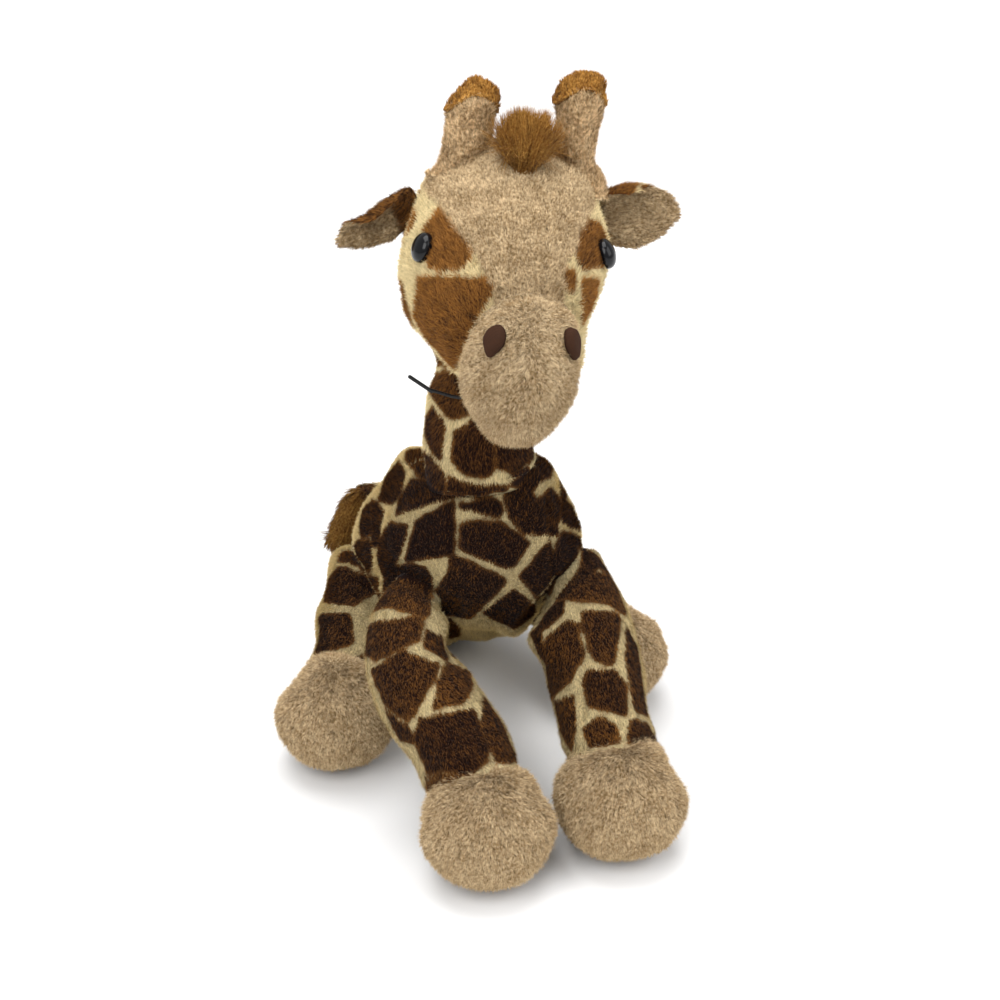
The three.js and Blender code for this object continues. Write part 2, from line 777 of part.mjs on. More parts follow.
function limbSolids({ leg, hinge, hoofSolid }, ballRadius) {
  return {
    leg: cut(formSolid(leg).add(ball(hinge, ballRadius)), hoofSolid(seamGap), underFloor),
    hoof: cut(hoofSolid(), underFloor),
  };
}

const frontPieces = Object.fromEntries(sides.map((name) => [name, limbSolids(front[name], frontBallRadius)]));
const hindPieces = Object.fromEntries(sides.map((name) => [name, limbSolids(hind[name], hindBallRadius)]));
const stemSolid = formSolid(tailStem).add(ball(tailHinge, tailRootRadius));
const tuftSolid = cut(formSolid(tailTuft), formSolid(tailStem, seamGap));

// Finishes
const finish = (color, roughness) => new THREE.MeshStandardMaterial({ color, roughness, metalness: 0 });
const finishes = {
  spotted: () => finish(colours.cream, 0.95),
  tan: () => finish(colours.tan, 0.95),
  gold: () => finish(colours.gold, 0.95),
  nostril: () => finish(colours.dark, 0.9),
  eye: () => finish(colours.black, 0.08),
  plastic: () => finish(colours.black, 0.4),
  washer: () => finish(colours.white, 0.45),
  bag: () => finish(colours.white, 0.85),
};

const giraffe = new THREE.Group();

// One group for each body that moves, placed on its hinge inside the group that carries it
function addBody(parent, pivot, pieces) {
  const group = new THREE.Group();
  group.position.copy(pivot).sub(parent.userData.pivot ?? vec(0, 0, 0));
  group.userData.pivot = pivot.clone();
  for (const [name, solid, material] of pieces) {
    const geometry = toGeometry(solid).translate(-pivot.x, -pivot.y, -pivot.z);
    const mesh = new THREE.Mesh(geometry, finishes[material]());
    mesh.name = name;
    group.add(mesh);
  }
  parent.add(group);
  return group;
}

const torsoBody = addBody(giraffe, vec(0, 0, 0), [
  ['torso', torsoSolid, 'spotted'],
  ['pellet_bag', bagOval(), 'bag'],
]);
const neckBody = addBody(torsoBody, neckHinge, [
  ['neck', neckSolid, 'spotted'],
  ['tag_fastener', fastenerSolid(), 'plastic'],
]);
const headBody = addBody(neckBody, headHinge, [
  ['head', headSolid, 'spotted'],
  ['muzzle', muzzleSolid, 'tan'],
  ['forelock', forelockSolid, 'gold'],
  ...sides.flatMap((name) => [
    [`nostril_${name}`, nostrilSolid(nostrils[name]), 'nostril'],
    [`eye_${name}`, eyeSolid(name), 'eye'],
    [`eye_washer_${name}`, washerSolid(name), 'washer'],
    [`horn_${name}`, hornPieces[name].body, 'tan'],
    [`horn_cap_${name}`, hornPieces[name].cap, 'gold'],
  ]),
]);
for (const name of sides) {
  addBody(headBody, ears[name].hinge, [
    [`ear_${name}`, earPieces[name].leaf, 'spotted'],
    [`ear_lining_${name}`, earPieces[name].lining, 'tan'],
  ]);
  addBody(torsoBody, front[name].hinge, [
    [`front_leg_${name}`, frontPieces[name].leg, 'spotted'],
    [`front_hoof_${name}`, frontPieces[name].hoof, 'tan'],
  ]);
  addBody(torsoBody, hind[name].hinge, [
    [`hind_leg_${name}`, hindPieces[name].leg, 'spotted'],
    [`hind_hoof_${name}`, hindPieces[name].hoof, 'tan'],
  ]);
}
addBody(torsoBody, tailHinge, [
  ['tail_stem', stemSolid, 'spotted'],
  ['tail_tuft', tuftSolid, 'gold'],
]);

export default giraffe;
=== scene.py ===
"""Plush giraffe: its sewn, stuffed and furred pieces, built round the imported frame.

Lengths are millimetres while a form is shaped, and metres from the moment that it becomes a mesh.
The giraffe faces -Y and its own left is +X. A share of a turn is counted from the form's side axis.
"""

import logging
import math
from dataclasses import dataclass, field
from enum import Enum
from typing import Optional, Sequence, Union

import bpy
import numpy as np
from mathutils import Matrix, Vector, noise
from mathutils.bvhtree import BVHTree


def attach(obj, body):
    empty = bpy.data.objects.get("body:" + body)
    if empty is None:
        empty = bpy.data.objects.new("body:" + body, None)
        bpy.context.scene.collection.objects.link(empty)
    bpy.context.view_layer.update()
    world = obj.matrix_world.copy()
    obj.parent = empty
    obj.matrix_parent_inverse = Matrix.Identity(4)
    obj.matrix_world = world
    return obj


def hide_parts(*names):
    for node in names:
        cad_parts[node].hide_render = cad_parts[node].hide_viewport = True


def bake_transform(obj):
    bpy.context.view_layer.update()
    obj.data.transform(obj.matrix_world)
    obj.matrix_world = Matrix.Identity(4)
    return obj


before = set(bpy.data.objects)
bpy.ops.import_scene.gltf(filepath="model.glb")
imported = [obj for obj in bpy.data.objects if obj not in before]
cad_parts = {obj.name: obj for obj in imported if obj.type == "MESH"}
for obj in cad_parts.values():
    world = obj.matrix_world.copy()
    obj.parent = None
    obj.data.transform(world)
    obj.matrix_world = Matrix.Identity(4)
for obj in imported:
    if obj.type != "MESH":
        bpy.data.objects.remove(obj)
LOG = logging.getLogger("giraffe")
MM = 0.001
PIECE_TRIANGLES = 192_000
UV_MAP = "OFBake"
SEED = 7
OUTSIDE = -30.0
SIDES = (("right", -1), ("left", 1))
X_AXIS, Y_AXIS, Z_AXIS = np.eye(3)

Array = np.ndarray
Thing = bpy.types.Object
Pair = tuple[float, float]
Triple = tuple[float, float, float]
Rows = Sequence[Sequence[float]]
Table = tuple[tuple[float, ...], ...]
Outline = tuple[Pair, ...]
Outlines = tuple[Outline, ...]
Pull = tuple[Pair, Pair, float]
Pulls = tuple[Pull, ...]


# Small maths ------------


def unit(vectors: Array) -> Array:
    """Vectors brought to length one."""
    return vectors / np.maximum(np.linalg.norm(vectors, axis=-1, keepdims=True), 1e-12)


def ease(low: float, high: float, values: Array) -> Array:
    """A smooth step from 0 at low to 1 at high."""
    share = np.clip((np.asarray(values, float) - low) / (high - low), 0, 1)
    return share * share * (3 - 2 * share)


def turns_of(steps: int) -> Array:
    """Equal steps of one turn."""
    return np.arange(steps) / steps * 2 * math.pi


def carry(matrix: Array, points: Array) -> Array:
    """Points taken through a 4 by 4 matrix."""
    return np.asarray(points) @ matrix[:3, :3].T + matrix[:3, 3]


def ripple(points: Array, size: float, salt: float = 0.0) -> Array:
    """Smooth seeded unevenness of about -1 to 1.

    Args:
        points: places in mm.
        size: width of one swelling in mm.
        salt: moves the pattern, so that two uses differ.

    Returns:
        One number for each point.
    """
    offset = Vector((SEED + salt, salt * 2.3, -salt))
    return np.array([noise.noise(Vector(point) / size + offset) for point in points.tolist()])


def srgb(red: int, green: int, blue: int) -> Triple:
    """A colour as it shows on a screen, made linear."""
    shares = (value / 255 for value in (red, green, blue))
    return tuple(s / 12.92 if s <= 0.04045 else ((s + 0.055) / 1.055) ** 2.4 for s in shares)


def distance_to_line(points: Array, line: Array) -> Array:
    """The distance from points to a broken line.

    Args:
        points: places in any number of dimensions.
        line: the line's corners.

    Returns:
        One distance for each point.
    """
    nearest = np.full(len(points), np.inf)
    for start, end in zip(line[:-1], line[1:]):
        run = end - start
        share = np.clip((points - start) @ run / max(float(run @ run), 1e-9), 0, 1)
        nearest = np.minimum(nearest, np.linalg.norm(points - start - share[:, None] * run, axis=1))
    return nearest


class SmoothLine:
    """A smooth line through points, eased by the square root of the distance between them."""

    def __init__(self, points: Rows) -> None:
        """Keeps the points with one more beyond each end."""
        inner = np.asarray(points, float)
        self.points = np.vstack([2 * inner[0] - inner[1], inner, 2 * inner[-1] - inner[-2]])

    def at(self, shares: Array) -> Array:
        """The places on the line.

        Args:
            shares: shares of the way along.

        Returns:
            One place for each share.
        """
        last = len(self.points) - 3
        place = np.clip(np.asarray(shares, float), 0, 1) * last
        start = np.minimum(place.astype(int), last - 1)
        part = (place - start)[:, None]
        before, here, there, after = (self.points[start + k] for k in range(4))
        gaps = [np.sqrt(np.linalg.norm(b - a, axis=1, keepdims=True))
                for a, b in ((before, here), (here, there), (there, after))]
        middle = np.where(gaps[1] < 1e-4, 1.0, gaps[1])
        first, final = (np.where(gap < 1e-4, middle, gap) for gap in (gaps[0], gaps[2]))
        leave = ((here - before) / first - (there - before) / (first + middle) + (there - here) / middle) * middle
        arrive = ((there - here) / middle - (after - here) / (middle + final) + (after - there) / final) * middle
        bend = 3 * (there - here) - 2 * leave - arrive
        rest = 2 * (here - there) + leave + arrive
        return here + part * (leave + part * (bend + part * rest))

    def heading(self, shares: Array) -> Array:
        """The line's direction at shares of the way along."""
        step = 1e-4
        return unit(self.at(np.minimum(shares + step, 1)) - self.at(np.maximum(shares - step, 0)))


# Skins ------------


class Skin:
    """The closed cloth surface of one stuffed form, as rings of points from pole to pole, in mm."""

    def __init__(self, rings: Array, poles: Array, comb: Array) -> None:
        """Joins rings into a closed surface.

        Args:
            rings: places, by ring and by step round it.
            poles: the first and the last pole.
            comb: the way that the pile lies at each ring's points, or one way for all of them.
        """
        self.ring_count, self.step_count = rings.shape[:2]
        self.places = np.vstack([rings.reshape(-1, 3), poles])
        comb = np.broadcast_to(comb, rings.shape)
        self.comb = np.vstack([comb.reshape(-1, 3), comb[0].mean(0), comb[-1].mean(0)])
        self.furred = np.ones(len(self.places))
        self.values: dict[str, Array] = {}
        self.outward: Optional[Array] = None
        self._join()

    def _join(self) -> None:
        """Lists the faces, and each corner's place on the flat pattern."""
        rings, steps = self.ring_count, self.step_count
        ring, step = (grid.ravel() for grid in np.mgrid[:rings - 1, :steps])
        around = np.arange(steps)
        following = (around + 1) % steps
        low, high, last = ring * steps, (ring + 1) * steps, (rings - 1) * steps
        self.quads = np.stack([low + step, low + following[step], high + following[step], high + step], 1)
        start = np.full(steps, rings * steps)
        self.tris = np.vstack([np.stack([start, following, around], 1),
                               np.stack([start + 1, last + around, last + following], 1)])
        across, along, margin = 1 / steps, 1 / (rings + 1), 0.01
        here, there = around * across, (around + 1) * across
        blocks = [(np.stack([step, step + 1, step + 1, step], 1) * across,
                   np.stack([ring + 1, ring + 1, ring + 2, ring + 2], 1) * along)]
        for first, second, pole, edge in ((there, here, 0.0, along), (here, there, 1.0, 1 - along)):
            blocks.append((np.stack([(here + there) / 2, first, second], 1), np.tile([pole, edge, edge], (steps, 1))))
        pattern = np.vstack([np.stack(block, 2).reshape(-1, 2) for block in blocks])
        self.pattern = pattern * (1 - 2 * margin) + margin

    def faces(self) -> list[list[int]]:
        """All faces, in the order of the pattern's corners."""
        return self.quads.tolist() + self.tris.tolist()

    def normals(self) -> Array:
        """Works out the outward direction at each point.

        Returns:
            One unit vector a point.
        """
        total = np.zeros_like(self.places)
        a, b, c, d = (self.places[corner] for corner in self.quads.T)
        e, f, g = (self.places[corner] for corner in self.tris.T)
        for faces, facing in ((self.quads, np.cross(c - a, d - b)), (self.tris, np.cross(f - e, g - e))):
            for corner in faces.T:
                np.add.at(total, corner, facing)
        return unit(total)

    def tree(self) -> BVHTree:
        """The surface ready for finding the nearest place or the place that a ray meets."""
        return BVHTree.FromPolygons(self.places.tolist(), self.faces())

    def area(self) -> float:
        """Measures the furred surface.

        Returns:
            Its size in square mm.
        """
        a, b, c, d = (self.places[corner] for corner in self.quads.T)
        size = np.linalg.norm(np.cross(c - a, d - b), axis=1) / 2
        return float((size * self.furred[self.quads].mean(1)).sum())

    def swell(self, height: float, size: float, salt: float) -> None:
        """Makes the stuffing uneven: height and size of the lumps in mm."""
        self.places += self.normals() * (ripple(self.places, size, salt) * height)[:, None]

    def tone(self, value: float) -> None:
        """Darkens the whole piece, or lightens it below zero."""
        self.values["tone"] = np.full(len(self.places), value)

    def sink_into(self, other: BVHTree, heading: Array, depth: float, furred_depth: float = 1.5) -> None:
        """Ends the skin inside the form that it is sewn to.

        Args:
            other: the form that it is sewn to.
            heading: the way out of that form.
            depth: how deep its end may lie in mm.
            furred_depth: how deep its pile still grows in mm.
        """
        for index, place in enumerate(self.places.tolist()):
            hit, facing, _, distance = other.ray_cast(Vector(place), Vector(heading))
            if hit is not None and facing.dot(Vector(heading)) > 0:
                self.places[index] += heading * max(distance - depth, 0.0)
                self.furred[index] *= distance < furred_depth

    def tuck(self, other: BVHTree, reach: float, depth: float) -> None:
        """Draws the skin in near the form that it is sewn to.

        Args:
            other: the form that it is sewn to.
            reach: how far from it the skin is drawn in, in mm.
            depth: how much at most, in mm.
        """
        normals = self.normals()
        for index, place in enumerate(self.places.tolist()):
            hit, _, _, distance = other.find_nearest(Vector(place), reach)
            if hit is not None:
                share = 1 - distance / reach
                self.places[index] -= normals[index] * depth * share * share * (3 - 2 * share)

    def crease(self, line: Array, width: float, depth: float) -> None:
        """Sinks a valley in the skin.

        Args:
            line: the points of its middle, on the skin.
            width: half of its width in mm.
            depth: its depth in mm.
        """
        if len(line) < 2:
            return
        share = np.clip(1 - distance_to_line(self.places, line) / width, 0, 1)
        self.places -= self.normals() * (depth * share * share * (3 - 2 * share))[:, None]

    def press_flat(self, floor: float = 0.0) -> None:
        """Presses the skin flat where it rests on the floor.

        Args:
            floor: the floor's height in mm.
        """
        under = self.places[:, 2] < floor
        self.places[under, 2] = floor
        self.furred[under] = 0

    def make(self, name: str, finish: bpy.types.Material) -> Thing:
        """Turns the skin into an object.

        Args:
            name: the object's name.
            finish: its material.

        Returns:
            A mesh object with the skin's pattern and values.
        """
        mesh = bpy.data.meshes.new(name)
        mesh.from_pydata((self.places * MM).tolist(), [], self.faces())
        mesh.uv_layers.new(name=UV_MAP).data.foreach_set("uv", self.pattern.astype(np.float32).ravel())
        mesh.shade_smooth()
        for key, numbers in {**self.values, "furred": self.furred}.items():
            mesh.attributes.new(key, "FLOAT", "POINT").data.foreach_set("value", numbers.astype(np.float32))
        comb = mesh.attributes.new("comb", "FLOAT_VECTOR", "POINT")
        comb.data.foreach_set("vector", unit(self.comb).astype(np.float32).ravel())
        mesh.materials.append(finish)
        return placed(name, mesh)

    def part(self, rings: slice) -> "Skin":
        """Cuts some rings out as a closed skin of their own.

        Args:
            rings: which rings.

        Returns:
            The cut skin, with its share of the values.
        """
        steps = self.step_count
        grid, comb, outward = (numbers[:-2].reshape(-1, steps, 3)[rings]
                               for numbers in (self.places, self.comb, self.normals()))
        poles = np.array([self.places[-2] if rings.start == 0 else grid[0].mean(0),
                          self.places[-1] if rings.stop is None else grid[-1].mean(0)])
        cut = Skin(grid, poles, comb)
        cut.outward = np.vstack([outward.reshape(-1, 3), np.zeros((2, 3))])
        for name, numbers in {**self.values, "furred": self.furred}.items():
            rows = numbers[:-2].reshape(-1, steps)[rings]
            cut.values[name] = np.concatenate([rows.ravel(), [rows[0].mean(), rows[-1].mean()]])
        cut.furred = cut.values.pop("furred")
        cut.furred[-2:] = 0
        return cut


def placed(name: str, data: bpy.types.ID) -> Thing:
    """Puts a new object in the scene.

    Args:
        name: the object's name.
        data: its mesh, light or camera.

    Returns:
        The object.
    """
    made = bpy.data.objects.new(name, data)
    bpy.context.scene.collection.objects.link(made)
    return made


def oval_rings(middle: Array, half: Array, across: Array, up: Array, turns: Array) -> Array:
    """Points round the oval of each ring.

    Args:
        middle: each ring's middle.
        half: its two half sizes.
        across: the direction of the first.
        up: the direction of the second.
        turns: the angles of the points.

    Returns:
        Places, by ring and by turn.
    """
    wide = across[:, None, :] * (half[:, 0, None] * np.cos(turns))[..., None]
    deep = up[:, None, :] * (half[:, 1, None] * np.sin(turns))[..., None]
    return middle[:, None, :] + wide + deep


@dataclass
class StuffedForm:
    """Oval rings on a smooth line: each row is a place, two half sizes and, if the form bends hard, a lean."""

    places: Rows
    sizes: Rows
    side: Array = field(default_factory=lambda: X_AXIS)
    matrix: Array = field(default_factory=lambda: np.eye(4))
    leaning: bool = False
    start_dome: float = 2.0
    end_dome: float = 2.0

    def rings(self, along: Array) -> tuple[Array, ...]:
        """The rings at some places.

        Args:
            along: shares of the way.

        Returns:
            The middles, half sizes and the directions across, up and ahead.
        """
        line = SmoothLine(self.places)
        half = SmoothLine([[*size, 0.0][:3] for size in self.sizes]).at(along)
        ahead = line.heading(along)
        if self.leaning:
            lean = 2 * math.pi * half[:, 2]
            ahead = np.stack([np.zeros(len(lean)), -np.cos(lean), np.sin(lean)], 1)
        across = unit(self.side - (ahead @ self.side)[:, None] * ahead)
        return line.at(along), half, across, np.cross(ahead, across), ahead

    def on_skin(self, along: float, turn: float, sink: float = 0.0) -> tuple[Array, Array]:
        """A place on the skin.

        Args:
            along: its share of the way.
            turn: its share of a turn.
            sink: its depth under the skin in mm.

        Returns:
            The place and its outward direction.
        """
        middle, half, across, up, _ = (value[0] for value in self.rings(np.array([along])))
        angle = 2 * math.pi * turn
        out = unit(across * math.cos(angle) / half[0] + up * math.sin(angle) / half[1])
        place = middle + across * half[0] * math.cos(angle) + up * half[1] * math.sin(angle)
        return carry(self.matrix, place - out * sink), self.matrix[:3, :3] @ out

    def skin(self, spacing: float, part: Pair = (0.0, 1.0), comb_ahead: float = 1.0) -> Skin:
        """The skin, or a part of its length, with domed ends.

        Args:
            spacing: distance between points in mm.
            part: the shares of the way at which the skin starts and ends.
            comb_ahead: 1 where the pile lies towards the form's end, and -1 towards its start.

        Returns:
            The closed skin in the common frame.
        """
        coarse = self.rings(np.linspace(*part, 24))
        trial = oval_rings(*coarse[:4], np.linspace(0, 2 * math.pi, 9)[:-1])
        longest = np.linalg.norm(np.diff(trial, axis=0), axis=2).sum(0).max()
        widest = 2 * math.pi * np.sqrt((coarse[1][:, :2] ** 2).mean(1)).max()
        steps = max(12, int(widest / spacing))
        rings = self.rings(np.linspace(*part, max(6, int(longest / spacing))))
        middle, half, across, up, ahead = rings
        rows = [list(value) for value in rings]
        for end, dome, sign in ((0, self.start_dome, -1), (-1, self.end_dome, 1)):
            count = max(2, int(max(dome, half[end][0]) * 1.2 / spacing))
            for angle in np.arange(1, count) / count * math.pi / 2:
                beyond = (middle[end] + ahead[end] * sign * dome * math.sin(angle), half[end] * math.cos(angle),
                          across[end], up[end], ahead[end])
                for row, value in zip(rows, beyond):
                    row.insert(len(row) if end else 0, value)
        *ovals, aheads = (np.array(row) for row in rows)
        poles = np.array([middle[0] - ahead[0] * self.start_dome, middle[-1] + ahead[-1] * self.end_dome])
        comb = np.repeat(aheads[:, None, :] * comb_ahead, steps, 1)
        return Skin(carry(self.matrix, oval_rings(*ovals, turns_of(steps))), carry(self.matrix, poles),
                    comb @ self.matrix[:3, :3].T)


@dataclass
class Egg:
    """A round form with three half sizes and its poles on one of its axes."""

    middle: Sequence[float]
    halves: Triple
    pole: Array = field(default_factory=lambda: Z_AXIS)
    matrix: Array = field(default_factory=lambda: np.eye(4))

    def skin(self, spacing: float) -> Skin:
        """The closed skin.

        Args:
            spacing: distance between points in mm.

        Returns:
            The skin in the common frame, its pile lying away from the first pole.
        """
        halves = np.array(self.halves)
        steps = int(2 * math.pi * halves.max() / spacing)
        angles = np.linspace(0, math.pi, steps // 2 + 1)[1:-1, None, None]
        across = unit(np.cross(self.pole, [0.3, 0.5, 0.81]))
        up = np.cross(across, self.pole)
        flat = across * np.cos(turns_of(steps))[:, None] + up * np.sin(turns_of(steps))[:, None]
        ball = self.pole * np.cos(angles) + flat[None] * np.sin(angles)
        comb = -self.pole * np.sin(angles) + flat[None] * np.cos(angles)
        poles = np.stack([self.pole, -self.pole]) * halves + self.middle
        return Skin(carry(self.matrix, ball * halves + self.middle), carry(self.matrix, poles),
                    (comb * halves) @ self.matrix[:3, :3].T)


# The photograph's view ------------


@dataclass(frozen=True)
class PhotoView:
    """Where the photograph was taken from. Pairs are counted in its frame of 1000 by 1000."""

    azimuth: float = -17.0
    elevation: float = 30.0
    distance: float = 1000.0
    target: Triple = (6.6, -81.12, 120.0)
    focal_pixels: float = 2325.6
    frame_pixels: float = 1000.0
    sensor: float = 36.0

    def back(self) -> Array:
        """The direction from the target to the camera."""
        turn, rise = math.radians(self.azimuth), math.radians(self.elevation)
        return np.array([math.sin(turn) * math.cos(rise), -math.cos(turn) * math.cos(rise), math.sin(rise)])

    def place(self) -> Array:
        """Where the camera stands, in mm."""
        return np.array(self.target) + self.back() * self.distance

    def axes(self) -> tuple[Array, Array]:
        """The picture's directions to the right and up."""
        right = unit(np.cross(-self.back(), Z_AXIS))
        return right, np.cross(right, -self.back())

    def hit(self, tree: BVHTree, pixel: Pair, beside: float = 0.0) -> Optional[Array]:
        """Where a pixel's ray meets a surface.

        Args:
            tree: the surface.
            pixel: the pixel.
            beside: how far past the surface's edge, in mm, a ray still counts.

        Returns:
            The place in mm, or None.
        """
        right, up = self.axes()
        half = self.frame_pixels / 2
        aside, lift = (pixel[0] - half) / self.focal_pixels, (half - pixel[1]) / self.focal_pixels
        start, ray = Vector(self.place()), Vector(unit(-self.back() + right * aside + up * lift))
        place = tree.ray_cast(start, ray)[0]
        if place is None and beside:
            point = start + ray * self.distance
            for _ in range(3):
                near = tree.find_nearest(point)[0]
                point = start + ray * (near - start).dot(ray)
            place = point if (near - point).length < beside else None
        return None if place is None else np.array(place)

    def land(self, tree: BVHTree, pixels: Sequence[Pair], beside: float = 0.0) -> Array:
        """Where a line of pixels falls on a surface.

        Args:
            tree: the surface.
            pixels: corners of the line.
            beside: how far past the surface's edge, in mm, a ray still counts.

        Returns:
            The places in mm, without the rays that miss.
        """
        step, line = 5.0, []
        for start, end in zip(pixels[:-1], pixels[1:]):
            count = max(1, round(math.dist(start, end) / step))
            line += [tuple(a + (b - a) * (k / count) for a, b in zip(start, end)) for k in range(count)]
        landed = [self.hit(tree, pixel, beside) for pixel in [*line, pixels[-1]]]
        return np.array([place for place in landed if place is not None]).reshape(-1, 3)

    def pull(self, skin: Skin, pulls: Sequence[Pull]) -> None:
        """Shifts what shows near some pixels, so that its outline falls where the photograph has it.

        Args:
            skin: what is shifted.
            pulls: for each a pixel, its move in pixels, and the reach in pixels.
        """
        right, up = self.axes()
        for (x, y), (across, down), reach in pulls:
            away = skin.places - self.place()
            scale = self.focal_pixels / -(away @ self.back())
            aside = self.frame_pixels / 2 + away @ right * scale - x
            below = self.frame_pixels / 2 - away @ up * scale - y
            share = ease(reach, 0.0, np.hypot(aside, below)) / scale
            skin.places += share[:, None] * (right * across - up * down)


PHOTO = PhotoView()


# The print ------------


@dataclass
class Print:
    """The giraffe print: dark patches with lighter rims, divided by cream lines. Lengths are mm."""

    patches: Sequence[Outline] = ()
    line_width: float = 4.6
    spacing: float = 24.0
    largest: float = 13.5
    wander: float = 0.7
    grow: float = 1.1
    warm: float = 0.3
    salt: float = 0.0
    fill_seen: bool = True
    beside: float = 8.0
    shade_range: float = 0.22
    fill_shade_range: float = 0.25
    softness: float = 1.3
    past_edge: float = 0.03
    edge_slope: float = 50.0
    clear_to: float = 0.2
    hidden_below: float = -0.1
    seen_above: float = 0.25
    seed_room: float = 2.5
    deepest: float = 6.0
    wander_size: float = 5.0

    def lay(self, skin: Skin) -> None:
        """Gives each point of a skin its distance inside a patch in mm, and its patch's tone.

        Args:
            skin: what is printed.
        """
        tree, normals = skin.tree(), skin.normals()
        inside = np.full(len(skin.places), OUTSIDE)
        tone = np.full(len(skin.places), self.warm)
        shades = np.random.default_rng(SEED + int(self.salt * 10))
        for outline in self.patches:
            line = [*outline, outline[0]]
            if len(PHOTO.land(tree, line)) < 5:
                continue
            edge = PHOTO.land(tree, line, self.beside)
            shade = float(np.clip(self.warm + shades.uniform(-self.shade_range, self.shade_range), 0, 1))
            depth = depth_in_outline(skin.places, normals, edge) + self.grow
            tone[depth > inside] = shade
            inside = np.maximum(inside, depth)
        facing = (normals * unit(PHOTO.place() - skin.places)).sum(1)
        inside = np.minimum(inside, np.maximum((facing + self.past_edge) * self.edge_slope, OUTSIDE))
        self._fill(skin, facing, inside, tone, shades)
        wander = ripple(skin.places, self.wander_size, self.salt) * self.wander
        skin.values["spot"] = np.clip(inside + wander, -self.deepest, self.deepest)
        skin.values["tone"] = tone

    def _fill(self, skin: Skin, facing: Array, inside: Array, tone: Array, shades: np.random.Generator) -> None:
        """Fills the sides that the photograph doesn't show with patches of the same kind.

        Args:
            skin: what is printed.
            facing: how much each point faces the camera.
            inside: each point's distance inside a patch, which changes here.
            tone: each point's tone, which changes here.
            shades: what the patches' places and tones are drawn from.
        """
        unseen = (facing < self.hidden_below) | ((facing > self.seen_above) & self.fill_seen)
        free = unseen & (inside < -self.line_width - self.seed_room)
        seeds: list[Array] = []
        for index in shades.permutation(np.flatnonzero(free)):
            place = skin.places[index]
            if all(np.linalg.norm(place - seed) > self.spacing for seed in seeds):
                seeds.append(place)
        if not seeds:
            return
        centres = np.array(seeds)
        gaps = np.linalg.norm(skin.places[:, None, :] - centres[None], axis=2)
        own, rows = np.argmin(gaps, axis=1), np.arange(len(gaps))
        near = gaps[rows, own]
        gaps[rows, own] = np.inf
        apart = np.linalg.norm(centres[own][:, None, :] - centres[None], axis=2)
        border = (gaps ** 2 - near[:, None] ** 2) / (2 * np.maximum(apart, 1.0))
        border[rows, own] = np.inf
        edge = -self.softness * np.log(np.exp(-np.clip(border, -40, 200) / self.softness).sum(1))
        depth = np.minimum(edge - self.line_width / 2, self.largest - near)
        depth = np.minimum(depth, -inside - self.line_width)
        depth[(facing > -self.past_edge) & (facing < self.clear_to)] = -1.0
        choice = shades.uniform(-self.fill_shade_range, self.fill_shade_range, len(centres)) + self.warm
        tone[depth > inside] = np.clip(choice[own][depth > inside], 0, 1)
        np.maximum(inside, depth, out=inside)


def depth_in_outline(places: Array, normals: Array, edge: Array) -> Array:
    """How deep places lie inside an outline on the skin.

    Args:
        places: the skin's points.
        normals: their outward directions.
        edge: the outline's points.

    Returns:
        A distance in mm for each point, below zero outside.
    """
    middle = edge.mean(0)
    reach = np.linalg.norm(edge - middle, axis=1).max()
    flat = np.linalg.svd(edge - middle)[2]
    corners = (edge - middle) @ flat[:2].T
    upright = flat[2] * np.sign(flat[2] @ (PHOTO.place() - middle))
    margin, turned_away = 8, -0.1
    near = (np.linalg.norm(places - middle, axis=1) < reach + margin) & (normals @ upright > turned_away)
    points = (places[near] - middle) @ flat[:2].T
    for _ in range(2):
        ahead = np.roll(corners, -1, 0)
        corners = np.stack([corners * 0.75 + ahead * 0.25, corners * 0.25 + ahead * 0.75], 1).reshape(-1, 2)
    distance = distance_to_line(points, np.vstack([corners, corners[:1]]))
    crossing = np.zeros(len(points), int)
    for (x0, y0), (x1, y1) in zip(corners, np.roll(corners, -1, 0)):
        if y0 != y1:
            between = (points[:, 1] > min(y0, y1)) & (points[:, 1] <= max(y0, y1))
            crossing += between & (points[:, 0] < x0 + (points[:, 1] - y0) * (x1 - x0) / (y1 - y0))
    depth = np.full(len(places), OUTSIDE)
    depth[near] = np.where(crossing % 2 == 1, distance, -distance)
    return depth


# Node trees ------------


